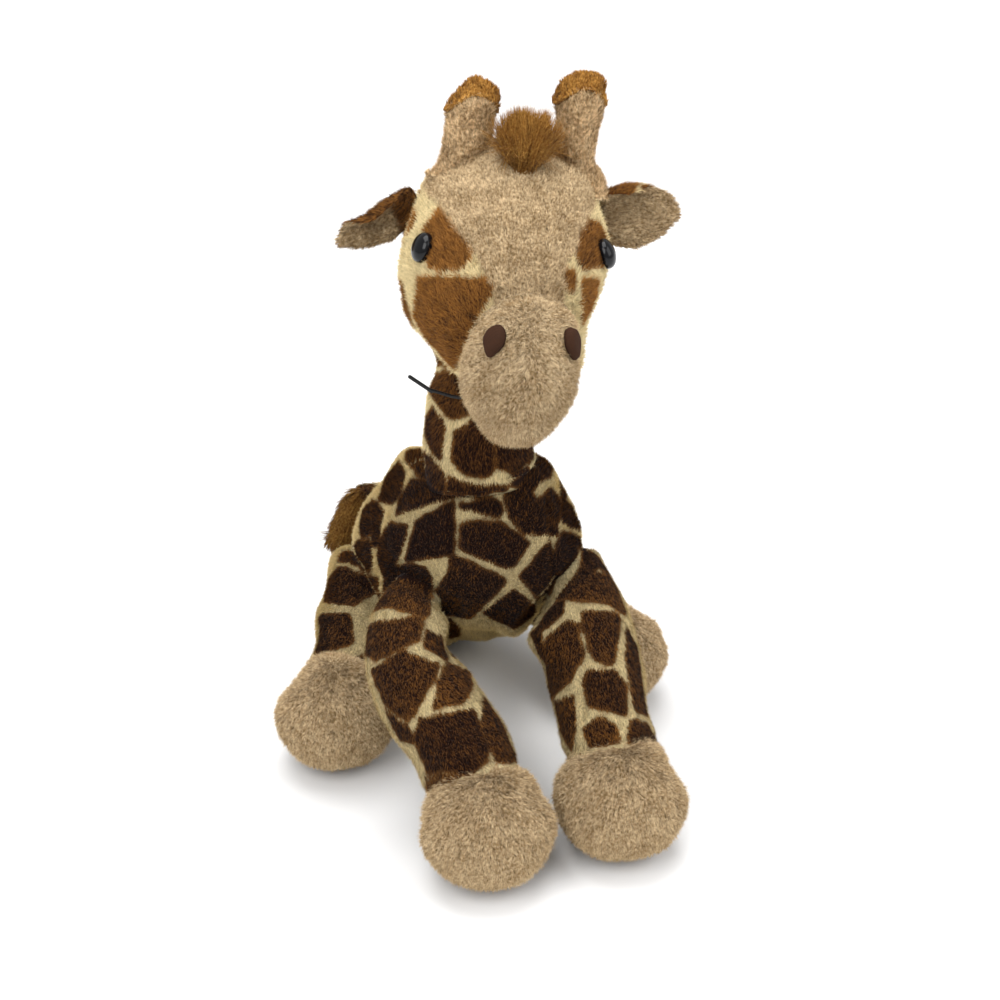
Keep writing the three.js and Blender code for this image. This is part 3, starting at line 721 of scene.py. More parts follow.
class Wiring:
    """Adds nodes to a tree: settings first, and then the values or links of the sockets."""

    def __init__(self, tree: bpy.types.NodeTree) -> None:
        """Keeps the tree that the nodes go to."""
        self.tree = tree

    def add(self, kind: str, settings: Optional[dict] = None, sockets: Optional[dict] = None) -> bpy.types.Node:
        """Adds one node.

        Args:
            kind: the node's type.
            settings: its properties, which are set first.
            sockets: a value or a link for each socket, by name or number.

        Returns:
            The node.
        """
        node = self.tree.nodes.new(kind)
        for key, value in (settings or {}).items():
            setattr(node, key, value)
        for key, value in (sockets or {}).items():
            self.feed(node.inputs[key], value)
        return node

    def feed(self, socket: bpy.types.NodeSocket, value: object) -> None:
        """Links a socket or sets its value.

        Args:
            socket: the input.
            value: a term, an output or a plain value.
        """
        if isinstance(value, Term):
            value = value.socket
        if isinstance(value, bpy.types.NodeSocket):
            self.tree.links.new(value, socket)
        else:
            socket.default_value = value

    def term(self, kind: str, settings: Optional[dict] = None, sockets: Optional[dict] = None,
             output: Union[int, str] = 0) -> "Term":
        """Adds a node and gives one of its outputs."""
        return Term(self, self.add(kind, settings, sockets).outputs[output])

    def vector(self, operation: str, *values: object) -> "Term":
        """Vector Math on up to three values."""
        return self.term("ShaderNodeVectorMath", {"operation": operation}, dict(enumerate(values)))

    def scaled(self, vector: object, amount: object) -> "Term":
        """A vector or a colour times a number."""
        return self.term("ShaderNodeVectorMath", {"operation": "SCALE"}, {0: vector, "Scale": amount})

    def mix(self, share: object, first: object, second: object) -> "Term":
        """A colour between two.

        Args:
            share: 0 for the first, and 1 for the second.
            first: a colour.
            second: a colour.

        Returns:
            The mixed colour.
        """
        node = self.add("ShaderNodeMix", {"data_type": "RGBA"}, {0: share})
        for socket, value in zip([s for s in node.inputs if s.type == "RGBA"], (first, second)):
            self.feed(socket, (*value, 1.0) if isinstance(value, tuple) else value)
        return Term(self, next(s for s in node.outputs if s.type == "RGBA"))

    def step(self, value: object, low: float, high: float) -> "Term":
        """A smooth step from 0 at low to 1 at high."""
        return self.term("ShaderNodeMapRange", {"interpolation_type": "SMOOTHSTEP"},
                         {"Value": value, "From Min": low, "From Max": high})

    def named(self, name: str, kind: str = "FLOAT_VECTOR") -> "Term":
        """What the mesh holds under a name."""
        return self.term("GeometryNodeInputNamedAttribute", {"data_type": kind}, {"Name": name})

    def store(self, mesh: object, name: str, value: object, kind: str, domain: str) -> "Term":
        """Keeps a value on the mesh under a name."""
        return self.term("GeometryNodeStoreNamedAttribute", {"data_type": kind, "domain": domain},
                         {"Geometry": mesh, "Name": name, "Value": value})

    def random(self, seed: object, low: object, high: object) -> "Term":
        """Draws random numbers, or vectors where the limits are vectors.

        Args:
            seed: the seed, a number or a socket.
            low: the lowest value.
            high: the highest value.

        Returns:
            The random values.
        """
        kind, output = ("FLOAT_VECTOR", 0) if isinstance(low, tuple) else ("FLOAT", 1)
        limits = {"Min": low, "Max": high, "Seed": seed}
        return self.term("FunctionNodeRandomValue", {"data_type": kind}, limits, output)


class Term:
    """A socket that takes part in plain arithmetic."""

    def __init__(self, wiring: Wiring, socket: bpy.types.NodeSocket) -> None:
        """Keeps the socket and the tree that it is in."""
        self.wiring, self.socket = wiring, socket

    def _math(self, operation: str, first: object, second: object) -> "Term":
        """One Math node."""
        return self.wiring.term("ShaderNodeMath", {"operation": operation}, {0: first, 1: second})

    def __add__(self, other: object) -> "Term":
        """The sum."""
        return self._math("ADD", self, other)

    def __sub__(self, other: object) -> "Term":
        """The difference."""
        return self._math("SUBTRACT", self, other)

    def __rsub__(self, other: object) -> "Term":
        """The difference from a plain number."""
        return self._math("SUBTRACT", other, self)

    def __mul__(self, other: object) -> "Term":
        """The product."""
        return self._math("MULTIPLY", self, other)

    __radd__, __rmul__ = __add__, __mul__


# Finishes ------------


class Slot(Enum):
    """The record's material slots."""

    SPOTTED = "spotted_plush"
    TAN = "tan_plush"
    GOLD = "gold_fur"
    NOSTRIL = "nostril_cloth"
    EYE = "eye_plastic"
    FASTENER = "fastener_plastic"
    WASHER = "washer_plastic"
    BAG = "bag_cloth"


CREAM = srgb(216, 197, 150)
PATCH_DARK = srgb(36, 17, 11)
PATCH_WARM = srgb(143, 95, 44)
RIM_DARK = srgb(104, 68, 32)
RIM_WARM = srgb(160, 112, 58)
TAN = srgb(210, 186, 148)
# The darker colours of the tan and gold pile are painted shade between its strands.
TAN_PAINTED_SHADE = srgb(150, 122, 84)
GOLD = srgb(194, 144, 72)
GOLD_PAINTED_SHADE = srgb(130, 82, 30)


class Finish:
    """What all finishes share: a material, its wiring and its one shader."""

    def __init__(self, slot: Slot, constants: dict[str, object]) -> None:
        """Starts a material.

        Args:
            slot: the record's slot that it is for.
            constants: the shader's plain values.
        """
        self.slot, self.material = slot, bpy.data.materials.new(slot.value)
        self.material.use_nodes = True
        self.material.node_tree.nodes.clear()
        self.wiring = Wiring(self.material.node_tree)
        self.shader = self.wiring.add("ShaderNodeBsdfPrincipled", None, constants)
        self.wiring.add("ShaderNodeOutputMaterial", None, {"Surface": self.shader.outputs["BSDF"]})
        self.coords = self.wiring.term("ShaderNodeTexCoord", None, None, "Object")

    def grain(self, size: float, detail: float = 2.0) -> Term:
        """Noise whose swellings are about size mm wide, from 0 to 1."""
        return self.wiring.term("ShaderNodeTexNoise", None,
                                {"Vector": self.coords, "Scale": 1 / (size * MM), "Detail": detail}, "Fac")

    def value(self, name: str) -> Term:
        """A number kept on the mesh."""
        return self.wiring.term("ShaderNodeAttribute", {"attribute_name": name}, None, "Fac")

    def feed(self, **values: object) -> None:
        """Feeds the shader's changing sockets, named with underscores."""
        for key, value in values.items():
            self.wiring.feed(self.shader.inputs[key.replace("_", " ")], value)

    def bump(self, height: object, distance: float, strength: float = 0.6) -> Term:
        """A Bump node's normal, from a height and its reach in mm."""
        return self.wiring.term("ShaderNodeBump", None,
                                {"Height": height, "Distance": distance * MM, "Strength": strength})


PLUSH = {"Sheen Weight": 0.05, "Sheen Roughness": 0.4, "Specular IOR Level": 0.1}


class SpottedPlush(Finish):
    """Printed plush: the patches, their rims, the cream lines and the tan face panel, by the mesh's values."""

    def __init__(self) -> None:
        """Builds the print."""
        super().__init__(Slot.SPOTTED, PLUSH)
        wiring = self.wiring
        frayed, mottled, streaked = 1.9, 0.3, 0.75
        root_light, tip_light, strand_light, fine_light, broad_light = 0.54, 0.32, 0.42, 0.8, 0.16
        fine, broad = self.grain(1.1, 3.0), self.grain(9.0)
        strand = self.value("strand")
        depth = self.value("spot") + (fine - 0.5) * frayed
        # The strand value varies each blade's tone at random; the skin under the blades, where it is zero, takes a
        # darker tone as painted shade.
        tone = self.value("tone") + (broad - 0.5) * mottled + (strand - 0.5) * streaked
        patch = wiring.mix(tone, PATCH_DARK, PATCH_WARM)
        rim = wiring.mix(tone, RIM_DARK, RIM_WARM)
        brown = wiring.mix(wiring.step(depth, 0.3, 1.8), rim, patch)
        printed = wiring.mix(wiring.step(depth, -0.5, 0.5), CREAM, brown)
        # The tan panel is mottled darker at the strands' scale: painted shade between strands.
        tan = wiring.mix(wiring.step(fine + broad * 0.4, 0.45, 0.95), TAN_PAINTED_SHADE, TAN)
        colour = wiring.mix(self.value("panel"), printed, tan)
        # Painted shade in the pile: the skin under the blades comes out darkest and each blade lightens from root to
        # tip; the strand and grain terms vary at random.
        light = (root_light + self.value("tip") * tip_light + strand * strand_light + (fine - 0.5) * fine_light
                 + (broad - 0.5) * broad_light)
        self.feed(Base_Color=wiring.scaled(colour, light), Roughness=0.86 + fine * 0.12,
                  Normal=self.bump(fine, 0.5))


class PlainPlush(Finish):
    """Plush or long fur of one colour, with painted shade between its strands and towards their roots."""

    def __init__(self, slot: Slot, light: Triple, deep: Triple, strand: float) -> None:
        """Builds the finish.

        Args:
            slot: the record's slot.
            light: the colour of most of it.
            deep: the darker colour between its strands, which is painted shade.
            strand: the width of a strand in mm.
        """
        super().__init__(slot, PLUSH)
        wiring = self.wiring
        fine, broad = self.grain(strand, 3.0), self.grain(8.0)
        colour = wiring.mix(wiring.step(fine + broad * 0.4, 0.45, 0.95), deep, light)
        # Painted shade in the pile: the skin under the blades comes out darkest and each blade lightens from root to
        # tip; the strand and grain terms vary at random.
        root_light, tip_light, strand_light, fine_light, tone_dark = 0.53, 0.36, 0.36, 0.6, 0.6
        shade = (root_light + self.value("tip") * tip_light + self.value("strand") * strand_light
                 + (fine - 0.5) * fine_light)
        # The tone value darkens a piece, or lightens it below zero: painted shade on the muzzle, painted light on the
        # horns.
        dark = 1 - self.value("tone") * tone_dark
        self.feed(Base_Color=wiring.scaled(colour, shade * dark), Roughness=0.84 + broad * 0.12,
                  Normal=self.bump(fine, 0.6))


class WovenCloth(Finish):
    """A plain woven cloth."""

    def __init__(self, slot: Slot, light: Triple, deep: Triple, thread: float) -> None:
        """Builds the weave.

        Args:
            slot: the record's slot.
            light: the colour of the threads.
            deep: the colour between them.
            thread: the width of a thread in mm.
        """
        super().__init__(slot, {"Specular IOR Level": 0.1})
        wiring = self.wiring
        waves = [wiring.term("ShaderNodeTexWave", {"bands_direction": side},
                             {"Vector": self.coords, "Scale": 1 / (thread * MM) / 3, "Distortion": 0.6}, "Fac")
                 for side in ("X", "Z")]
        weave = (waves[0] + waves[1]) * 0.5
        worn = self.grain(2.5)
        colour = wiring.mix(weave * 0.6 + worn * 0.4, deep, light)
        self.feed(Base_Color=colour, Roughness=0.75 + worn * 0.2, Normal=self.bump(weave, 0.15))


class Moulded(Finish):
    """Moulded plastic, with the faint unevenness of its surface."""

    def __init__(self, slot: Slot, colour: Triple, roughness: float) -> None:
        """Builds the plastic.

        Args:
            slot: the record's slot.
            colour: its colour.
            roughness: how dull it is.
        """
        super().__init__(slot, {"Specular IOR Level": 0.25})
        faint = self.grain(3.0)
        tint = self.wiring.mix(faint, tuple(0.9 * c for c in colour), tuple(min(1.0, 1.1 * c) for c in colour))
        self.feed(Base_Color=tint, Roughness=roughness + (faint - 0.5) * 0.04, Normal=self.bump(faint, 0.02, 0.2))


def all_finishes() -> dict[Slot, bpy.types.Material]:
    """Makes every finish of the toy.

    Returns:
        The material of each slot.
    """
    made = (SpottedPlush(), PlainPlush(Slot.TAN, TAN, TAN_PAINTED_SHADE, 1.3), PlainPlush(Slot.GOLD, GOLD, GOLD_PAINTED_SHADE, 1.0),
            WovenCloth(Slot.NOSTRIL, srgb(66, 42, 28), srgb(40, 24, 16), 0.4),
            Moulded(Slot.EYE, (0.004, 0.004, 0.005), 0.13), Moulded(Slot.FASTENER, (0.012, 0.012, 0.013), 0.35),
            Moulded(Slot.WASHER, srgb(225, 222, 212), 0.4),
            WovenCloth(Slot.BAG, srgb(235, 230, 218), srgb(205, 198, 182), 0.6))
    return {finish.slot: finish.material for finish in made}


# Pile ------------


@dataclass(frozen=True)
class Coat:
    """How a plush's pile stands: lengths in mm, blades for each square mm."""

    density: float = 5.0
    length: float = 2.3
    width: float = 0.34
    lift: float = 0.42
    tangle: float = 0.75
    stray: float = 0.35
    clump: float = 2.6
    curl: float = 0.0
    segments: int = 1


class Pile:
    """Blades of pile over a skin, made by Geometry Nodes."""

    def __init__(self) -> None:
        """Builds the one tree that every coat uses."""
        self.tree = bpy.data.node_groups.new("pile", "GeometryNodeTree")
        self.sockets: dict[str, str] = {}
        face = self.tree.interface
        kinds = {"Skin": "Geometry", "Blade": "Object", "Material": "Material", "Seed": "Int"}
        for name in ("Skin", "Blade", "Material", "Density", "Length", "Width", "Lift", "Tangle", "Stray", "Clump",
                     "Seed"):
            made = face.new_socket(name, in_out="INPUT", socket_type=f"NodeSocket{kinds.get(name, 'Float')}")
            self.sockets[name] = made.identifier
        face.new_socket("Pile", in_out="OUTPUT", socket_type="NodeSocketGeometry")
        self._wire(Wiring(self.tree))

    def _wire(self, wiring: Wiring) -> None:
        """Wires the tree from the skin to the finished pile.

        Args:
            wiring: what adds the tree's nodes.
        """
        least_rise, facing_spread, shortest, longest = 0.16, 0.7, 0.6, 1.2
        given = {socket.name: Term(wiring, socket) for socket in wiring.add("NodeGroupInput").outputs}
        seed, lift = given["Seed"], given["Lift"]
        spread = wiring.add("GeometryNodeDistributePointsOnFaces", {"distribute_method": "RANDOM"}, {
            "Mesh": given["Skin"], "Density": given["Density"] * wiring.named("furred", "FLOAT"), "Seed": seed})
        normal = spread.outputs["Normal"]
        swirl = wiring.vector("SUBTRACT", wiring.term("ShaderNodeTexNoise", {"noise_dimensions": "3D"}, {
            "Vector": wiring.term("GeometryNodeInputPosition"), "Scale": given["Clump"], "Detail": 2.0}, "Color"),
            (0.5, 0.5, 0.5))
        wild = wiring.random(seed, (-1, -1, -1), (1, 1, 1))
        leaning = wiring.vector("ADD", wiring.scaled(normal, lift), wiring.scaled(wiring.named("comb"), 1 - lift))
        tangled = wiring.vector("ADD", wiring.scaled(swirl, given["Tangle"] * 2.0),
                                wiring.scaled(wild, given["Stray"]))
        loose = wiring.vector("ADD", leaning, tangled)
        sunk = wiring.term("ShaderNodeVectorMath", {"operation": "DOT_PRODUCT"}, {0: loose, 1: normal}, "Value")
        raised = wiring.term("ShaderNodeMath", {"operation": "MAXIMUM"}, {0: least_rise - sunk, 1: 0.0})
        heading = wiring.vector("ADD", loose, wiring.scaled(normal, raised))
        facing = wiring.vector("ADD", normal, wiring.scaled(wild, facing_spread))
        turned = wiring.term("FunctionNodeAxesToRotation", {"primary_axis": "Z", "secondary_axis": "Y"},
                             {0: heading, 1: facing})
        length = given["Length"] * wiring.random(seed, shortest, longest)
        size = wiring.term("ShaderNodeCombineXYZ", None, {"X": given["Width"], "Y": length, "Z": length})
        blade = wiring.term("GeometryNodeObjectInfo", None, {"Object": given["Blade"]}, "Geometry")
        dotted = wiring.store(spread.outputs["Points"], "strand", wiring.random(seed, 0.0, 1.0), "FLOAT", "POINT")
        grown = wiring.term("GeometryNodeInstanceOnPoints", None, {
            "Points": dotted, "Instance": blade, "Rotation": turned, "Scale": size})
        real = wiring.term("GeometryNodeRealizeInstances", None, {0: grown})
        place = wiring.vector("ADD", wiring.named(UV_MAP), wiring.named("spread"))
        stored = wiring.store(real, UV_MAP, place, "FLOAT2", "CORNER")
        dyed = wiring.term("GeometryNodeSetMaterial", None, {"Geometry": stored, "Material": given["Material"]})
        wiring.add("NodeGroupOutput", None, {0: dyed})

    def blade(self, coat: Coat, pattern_share: float) -> Thing:
        """One strand, a unit long and wide, that narrows and bends towards its tip.

        Args:
            coat: whose segments and curl it has.
            pattern_share: the strand's length on the flat pattern.

        Returns:
            A mesh object that is removed after use.
        """
        taper, droop, foot = 0.55, 0.15, 0.15
        points, spreads, tips = [], [], []
        for share in (k / coat.segments for k in range(coat.segments)):
            half = 0.5 * (1 - taper * share ** 2)
            height = share * (1 - droop * coat.curl * share)
            for hand in (-1, 1):
                points.append((hand * half, -coat.curl * share ** 2, height))
                spreads.append((hand * foot * pattern_share, share * pattern_share, 0.0))
            tips += [share, share]
        points.append((0.0, -coat.curl, 1 - droop * coat.curl))
        spreads.append((0.0, pattern_share, 0.0))
        tips.append(1.0)
        last = 2 * coat.segments
        faces = [face for low in range(0, last - 2, 2) for face in ((low, low + 2, low + 3), (low, low + 3, low + 1))]
        mesh = bpy.data.meshes.new("blade")
        mesh.from_pydata(points, [], [*faces, (last - 2, last, last - 1)])
        mesh.attributes.new("tip", "FLOAT", "POINT").data.foreach_set("value", tips)
        store = mesh.attributes.new("spread", "FLOAT_VECTOR", "POINT")
        store.data.foreach_set("vector", np.array(spreads, np.float32).ravel())
        return bpy.data.objects.new("blade", mesh)

    def grow(self, skin: Skin, base: Thing, coat: Coat, name: str, seed: int) -> Thing:
        """Grows a coat on a skin's mesh.

        Args:
            skin: the skin, for its area.
            base: the skin's mesh object.
            coat: the kind of pile.
            name: the new piece's name.
            seed: for what is random.

        Returns:
            The pile as a plain mesh object.
        """
        blade_on_pattern, floor_bounce = 0.012, -0.3
        triangles = 2 * coat.segments - 1
        density = min(coat.density, PIECE_TRIANGLES / triangles / max(skin.area(), 1.0))
        carrier, blade = placed(name, base.data), self.blade(coat, blade_on_pattern)
        modifier = carrier.modifiers.new("pile", "NODES")
        modifier.node_group = self.tree
        values = {"Blade": blade, "Material": base.data.materials[0], "Density": density / MM ** 2,
                  "Length": coat.length * MM, "Width": coat.width * MM, "Lift": coat.lift,
                  "Tangle": coat.tangle, "Stray": coat.stray, "Clump": 1 / (coat.clump * MM), "Seed": seed}
        for key, value in values.items():
            modifier[self.sockets[key]] = value
        bpy.context.view_layer.update()
        evaluated = carrier.evaluated_get(bpy.context.evaluated_depsgraph_get())
        mesh = bpy.data.meshes.new_from_object(evaluated)
        mesh.name = name
        places = np.empty(len(mesh.vertices) * 3, np.float32)
        mesh.vertices.foreach_get("co", places)
        places[2::3] = np.where(places[2::3] < 0, floor_bounce * places[2::3], places[2::3])
        mesh.vertices.foreach_set("co", places)
        carrier.modifiers.remove(modifier)
        carrier.data = mesh
        bpy.data.objects.remove(blade)
        for spare in ("comb", "furred", "spread"):
            if spare in mesh.attributes:
                mesh.attributes.remove(mesh.attributes[spare])
        return carrier


# Holding the pieces ------------


@dataclass(frozen=True)
class Hold:
    """What a piece rides on: one body, or two bodies and the bend between them from start to end, in mm, which are
    kept but not used.
    """

    body: str
    second: Optional[str] = None
    start: Optional[Triple] = None
    end: Optional[Triple] = None

    def take(self, piece: Thing) -> None:
        """Puts a piece on its body, or, for a piece between two bodies, applies its place to its mesh and leaves it
        unparented.

        Args:
            piece: the mesh object.
        """
        if self.second is None:
            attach(piece, self.body)
        else:
            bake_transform(piece)


@dataclass
class Bench:
    """What every sub-assembly works with: the finishes, the pile and the list of what is made."""

    finishes: dict[Slot, bpy.types.Material] = field(default_factory=all_finishes)
    pile: Pile = field(default_factory=Pile)
    made: list[str] = field(default_factory=list)

    def plush(self, skin: Skin, name: str, slot: Slot, hold: Hold, coat: Coat,
              nodes: Sequence[str] = ()) -> Thing:
        """Finishes a stuffed piece and grows its pile.

        Args:
            skin: the shaped skin.
            name: the piece's name.
            slot: the record's slot of its finish.
            hold: what it rides on.
            coat: its pile.
            nodes: the CAD nodes that it stands for, if they don't have its name.

        Returns:
            The skin's object.
        """
        pile_share, most_room = 0.36, 1.1
        nodes = nodes or [name]
        room = min(pile_share * coat.length, most_room)
        outward = skin.normals() if skin.outward is None else skin.outward
        skin.places -= outward * (skin.furred * room)[:, None]
        piece = skin.make(f"{name}_skin", self.finishes[slot])
        furry = self.pile.grow(skin, piece, coat, f"{name}_pile", SEED + len(self.made))
        for key in ("comb", "furred"):
            piece.data.attributes.remove(piece.data.attributes[key])
        for part in (piece, furry):
            hold.take(part)
            self.report(part)
        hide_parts(*nodes)
        return piece

    def plain(self, piece: Thing, nodes: Sequence[str], hold: Hold) -> None:
        """Finishes a piece that has no pile.

        Args:
            piece: the mesh object.
            nodes: the CAD nodes that it stands for.
            hold: what it rides on.
        """
        hold.take(piece)
        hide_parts(*nodes)
        self.report(piece)

    def report(self, piece: Thing) -> None:
        """Notes a finished piece."""
        self.made.append(piece.name)
        LOG.info("%s: %d faces", piece.name, len(piece.data.polygons))


SHORT = Coat(length=2.0, width=0.36, lift=0.40, tangle=0.55, clump=3.0)
FACE = Coat(density=5.2, length=2.9, width=0.36, lift=0.36, tangle=1.05)
TAN_COAT = Coat(density=5.5, length=3.0, width=0.36, lift=0.36, tangle=1.05)
HORN_COAT = Coat(density=7.0, length=2.6, lift=0.38, tangle=0.95, clump=2.4)
SMALL = Coat(density=6.5, length=2.2, tangle=0.8, clump=2.4)
LONG = Coat(density=9.0, length=2.6, lift=0.34, tangle=0.9, stray=0.25, clump=2.8, curl=0.2, segments=2)
LOCK = Coat(density=24.0, length=13.3, width=0.2, lift=0.36, tangle=0.6, stray=0.28, clump=5.0, curl=0.25,
            segments=4)
TUFT = Coat(density=6.0, length=8.0, width=0.42, lift=0.30, tangle=0.5, stray=0.22, clump=5.0, curl=0.2,
            segments=4)


# Sub-assemblies ------------


THROAT_PATCH: Outline = (
    (449, 476), (457, 481), (476, 486), (502, 486), (507, 487), (505, 491), (494, 490), (484, 497),
    (469, 494), (451, 498), (445, 493),
)
SHOULDER_PATCH: Outline = (
    (386, 570), (398, 567), (414, 566), (426, 571), (432, 579), (429, 603), (427, 616), (415, 611), (403, 609),
    (388, 605), (370, 609), (365, 600), (366, 596), (383, 595), (383, 583),
)
HIP_PATCHES: Outlines = (
    ((359, 524), (363, 508), (370, 503), (371, 535), (360, 536)),
    ((341, 553), (352, 541), (370, 541), (372, 565), (366, 574), (360, 566), (350, 561), (338, 561)),
    ((324, 600), (328, 580), (336, 568), (347, 566), (358, 574), (378, 580), (378, 589), (362, 597), (354, 604)),
    ((314, 618), (322, 614), (345, 613), (351, 617), (352, 643), (340, 646), (306, 668), (306, 645)),
)


@dataclass
class Torso:
    """The body, from the rump on the floor to the neck's seam."""

    length: float = 110.0
    rise: float = 110.0
    half_width: float = 47.0
    half_depth: float = 42.0
    rump_back: float = -18.88
    rump_up: float = -29.87
    spacing: float = 1.35
    shares: Table = (
        (0.00, 0.000, 0.10, 0.12, 0.00), (0.06, 0.000, 0.64, 0.72, 0.03), (0.17, 0.065, 0.91, 0.92, 0.08),
        (0.45, 0.365, 0.98, 1.00, 0.12), (0.75, 0.570, 0.97, 0.98, 0.13), (0.96, 0.740, 0.96, 0.90, 0.17),
        (1.00, 0.880, 0.75, 0.79, 0.21), (0.95, 1.050, 0.44, 0.47, 0.25),
    )
    patches: Outlines = (
        ((407, 451), (426, 448), (432, 464), (443, 474), (440, 485), (421, 479), (406, 459)),
        ((398, 462), (404, 474), (401, 491), (392, 505), (378, 499), (386, 476)),
        ((410, 480), (421, 480), (446, 491), (452, 497), (440, 499), (395, 514), (400, 496)),
        ((453, 501), (453, 554), (404, 562), (415, 522), (424, 516)),
        ((389, 524), (406, 526), (397, 563), (383, 577), (377, 563), (378, 542)),
        ((459, 503), (469, 504), (487, 498), (494, 499), (500, 504), (502, 512), (498, 516), (489, 515),
         (479, 511), (469, 508), (461, 509)),
        THROAT_PATCH,
        ((461, 525), (470, 522), (501, 523), (530, 543), (515, 566), (507, 568), (459, 549)),
        ((512, 482), (527, 471), (534, 458), (542, 454), (553, 467), (551, 477), (540, 481), (533, 489),
         (531, 494), (539, 500), (547, 493), (552, 489), (558, 495), (562, 503), (562, 514), (558, 522),
         (559, 535), (550, 534), (525, 534), (515, 522), (508, 509), (506, 496)),
        ((559, 481), (571, 502), (580, 525), (580, 531), (562, 521), (562, 503)),
        ((565, 533), (576, 535), (585, 545), (585, 553), (572, 544)),
        ((551, 542), (553, 552), (574, 583), (542, 606), (521, 577)),
        ((563, 533), (575, 541), (578, 550), (576, 563), (578, 574), (575, 581), (560, 588), (557, 560),
         (557, 545)),
        ((451, 555), (505, 580), (503, 587), (469, 620), (438, 614), (434, 609), (438, 591), (449, 574)),
        ((436, 621), (446, 617), (458, 627), (458, 637), (450, 638), (440, 630)),
        SHOULDER_PATCH,
        ((485, 614), (515, 591), (539, 612), (515, 629), (501, 624)),
        ((469, 635), (474, 629), (479, 627), (484, 626), (490, 627), (497, 629), (503, 631), (508, 636), (498, 642),
         (475, 645)),
        ((542, 595), (563, 597), (558, 629), (542, 629)),
        ((371, 500), (377, 505), (384, 514), (379, 538), (377, 548), (371, 546)), *HIP_PATCHES,
    )
    seams: Outlines = (
        ((452, 500), (453, 555), (456, 612)), ((551, 500), (554, 550), (556, 605)),
        ((338, 562), (358, 567), (379, 577)), ((427, 458), (440, 474), (452, 489), (479, 492), (506, 489), (522, 469)),
        ((366, 607), (396, 612), (428, 618)),
    )
    pulls: Pulls = (
        ((408, 455), (-6, -16), 42), ((580, 500), (-13, 3), 55), ((524, 628), (0, 20), 32),
        ((500, 636), (0, 5), 26), ((395, 590), (-5, 6), 30),
        ((458, 650), (0, -10), 30), ((583, 530), (-5, 0), 30),
    )

    def form(self) -> StuffedForm:
        """The torso's rings.

        Returns:
            The form in the common frame.
        """
        places = [(0.0, -back * self.length - self.rump_back, up * self.rise - self.rump_up)
                  for back, up, *_ in self.shares]
        sizes = [(wide * self.half_width, deep * self.half_depth, lean) for _, _, wide, deep, lean in self.shares]
        return StuffedForm(places, sizes, leaning=True, start_dome=1.5, end_dome=1.5)

    def shape(self, spacing: float) -> Skin:
        """The torso's skin with its lumps.

        Args:
            spacing: distance between points in mm.

        Returns:
            The closed skin.
        """
        skin = self.form().skin(spacing)
        skin.swell(height=1.1, size=30.0, salt=1.0)
        PHOTO.pull(skin, self.pulls)
        return skin

    def build(self, bench: Bench, limbs: Sequence[BVHTree]) -> None:
        """Makes the torso.

        Args:
            bench: what it is made with.
            limbs: the forms that are sewn to it.
        """
        skin = self.shape(self.spacing)
        for limb in limbs:
            skin.tuck(limb, reach=8.0, depth=2.6)
        tree = skin.tree()
        for seam in self.seams:
            skin.crease(PHOTO.land(tree, seam), width=5.0, depth=1.3)
        skin.press_flat()
        Print(self.patches, warm=0.06, salt=1.0).lay(skin)
        bench.plush(skin, "torso", Slot.SPOTTED, Hold("body"), SHORT)


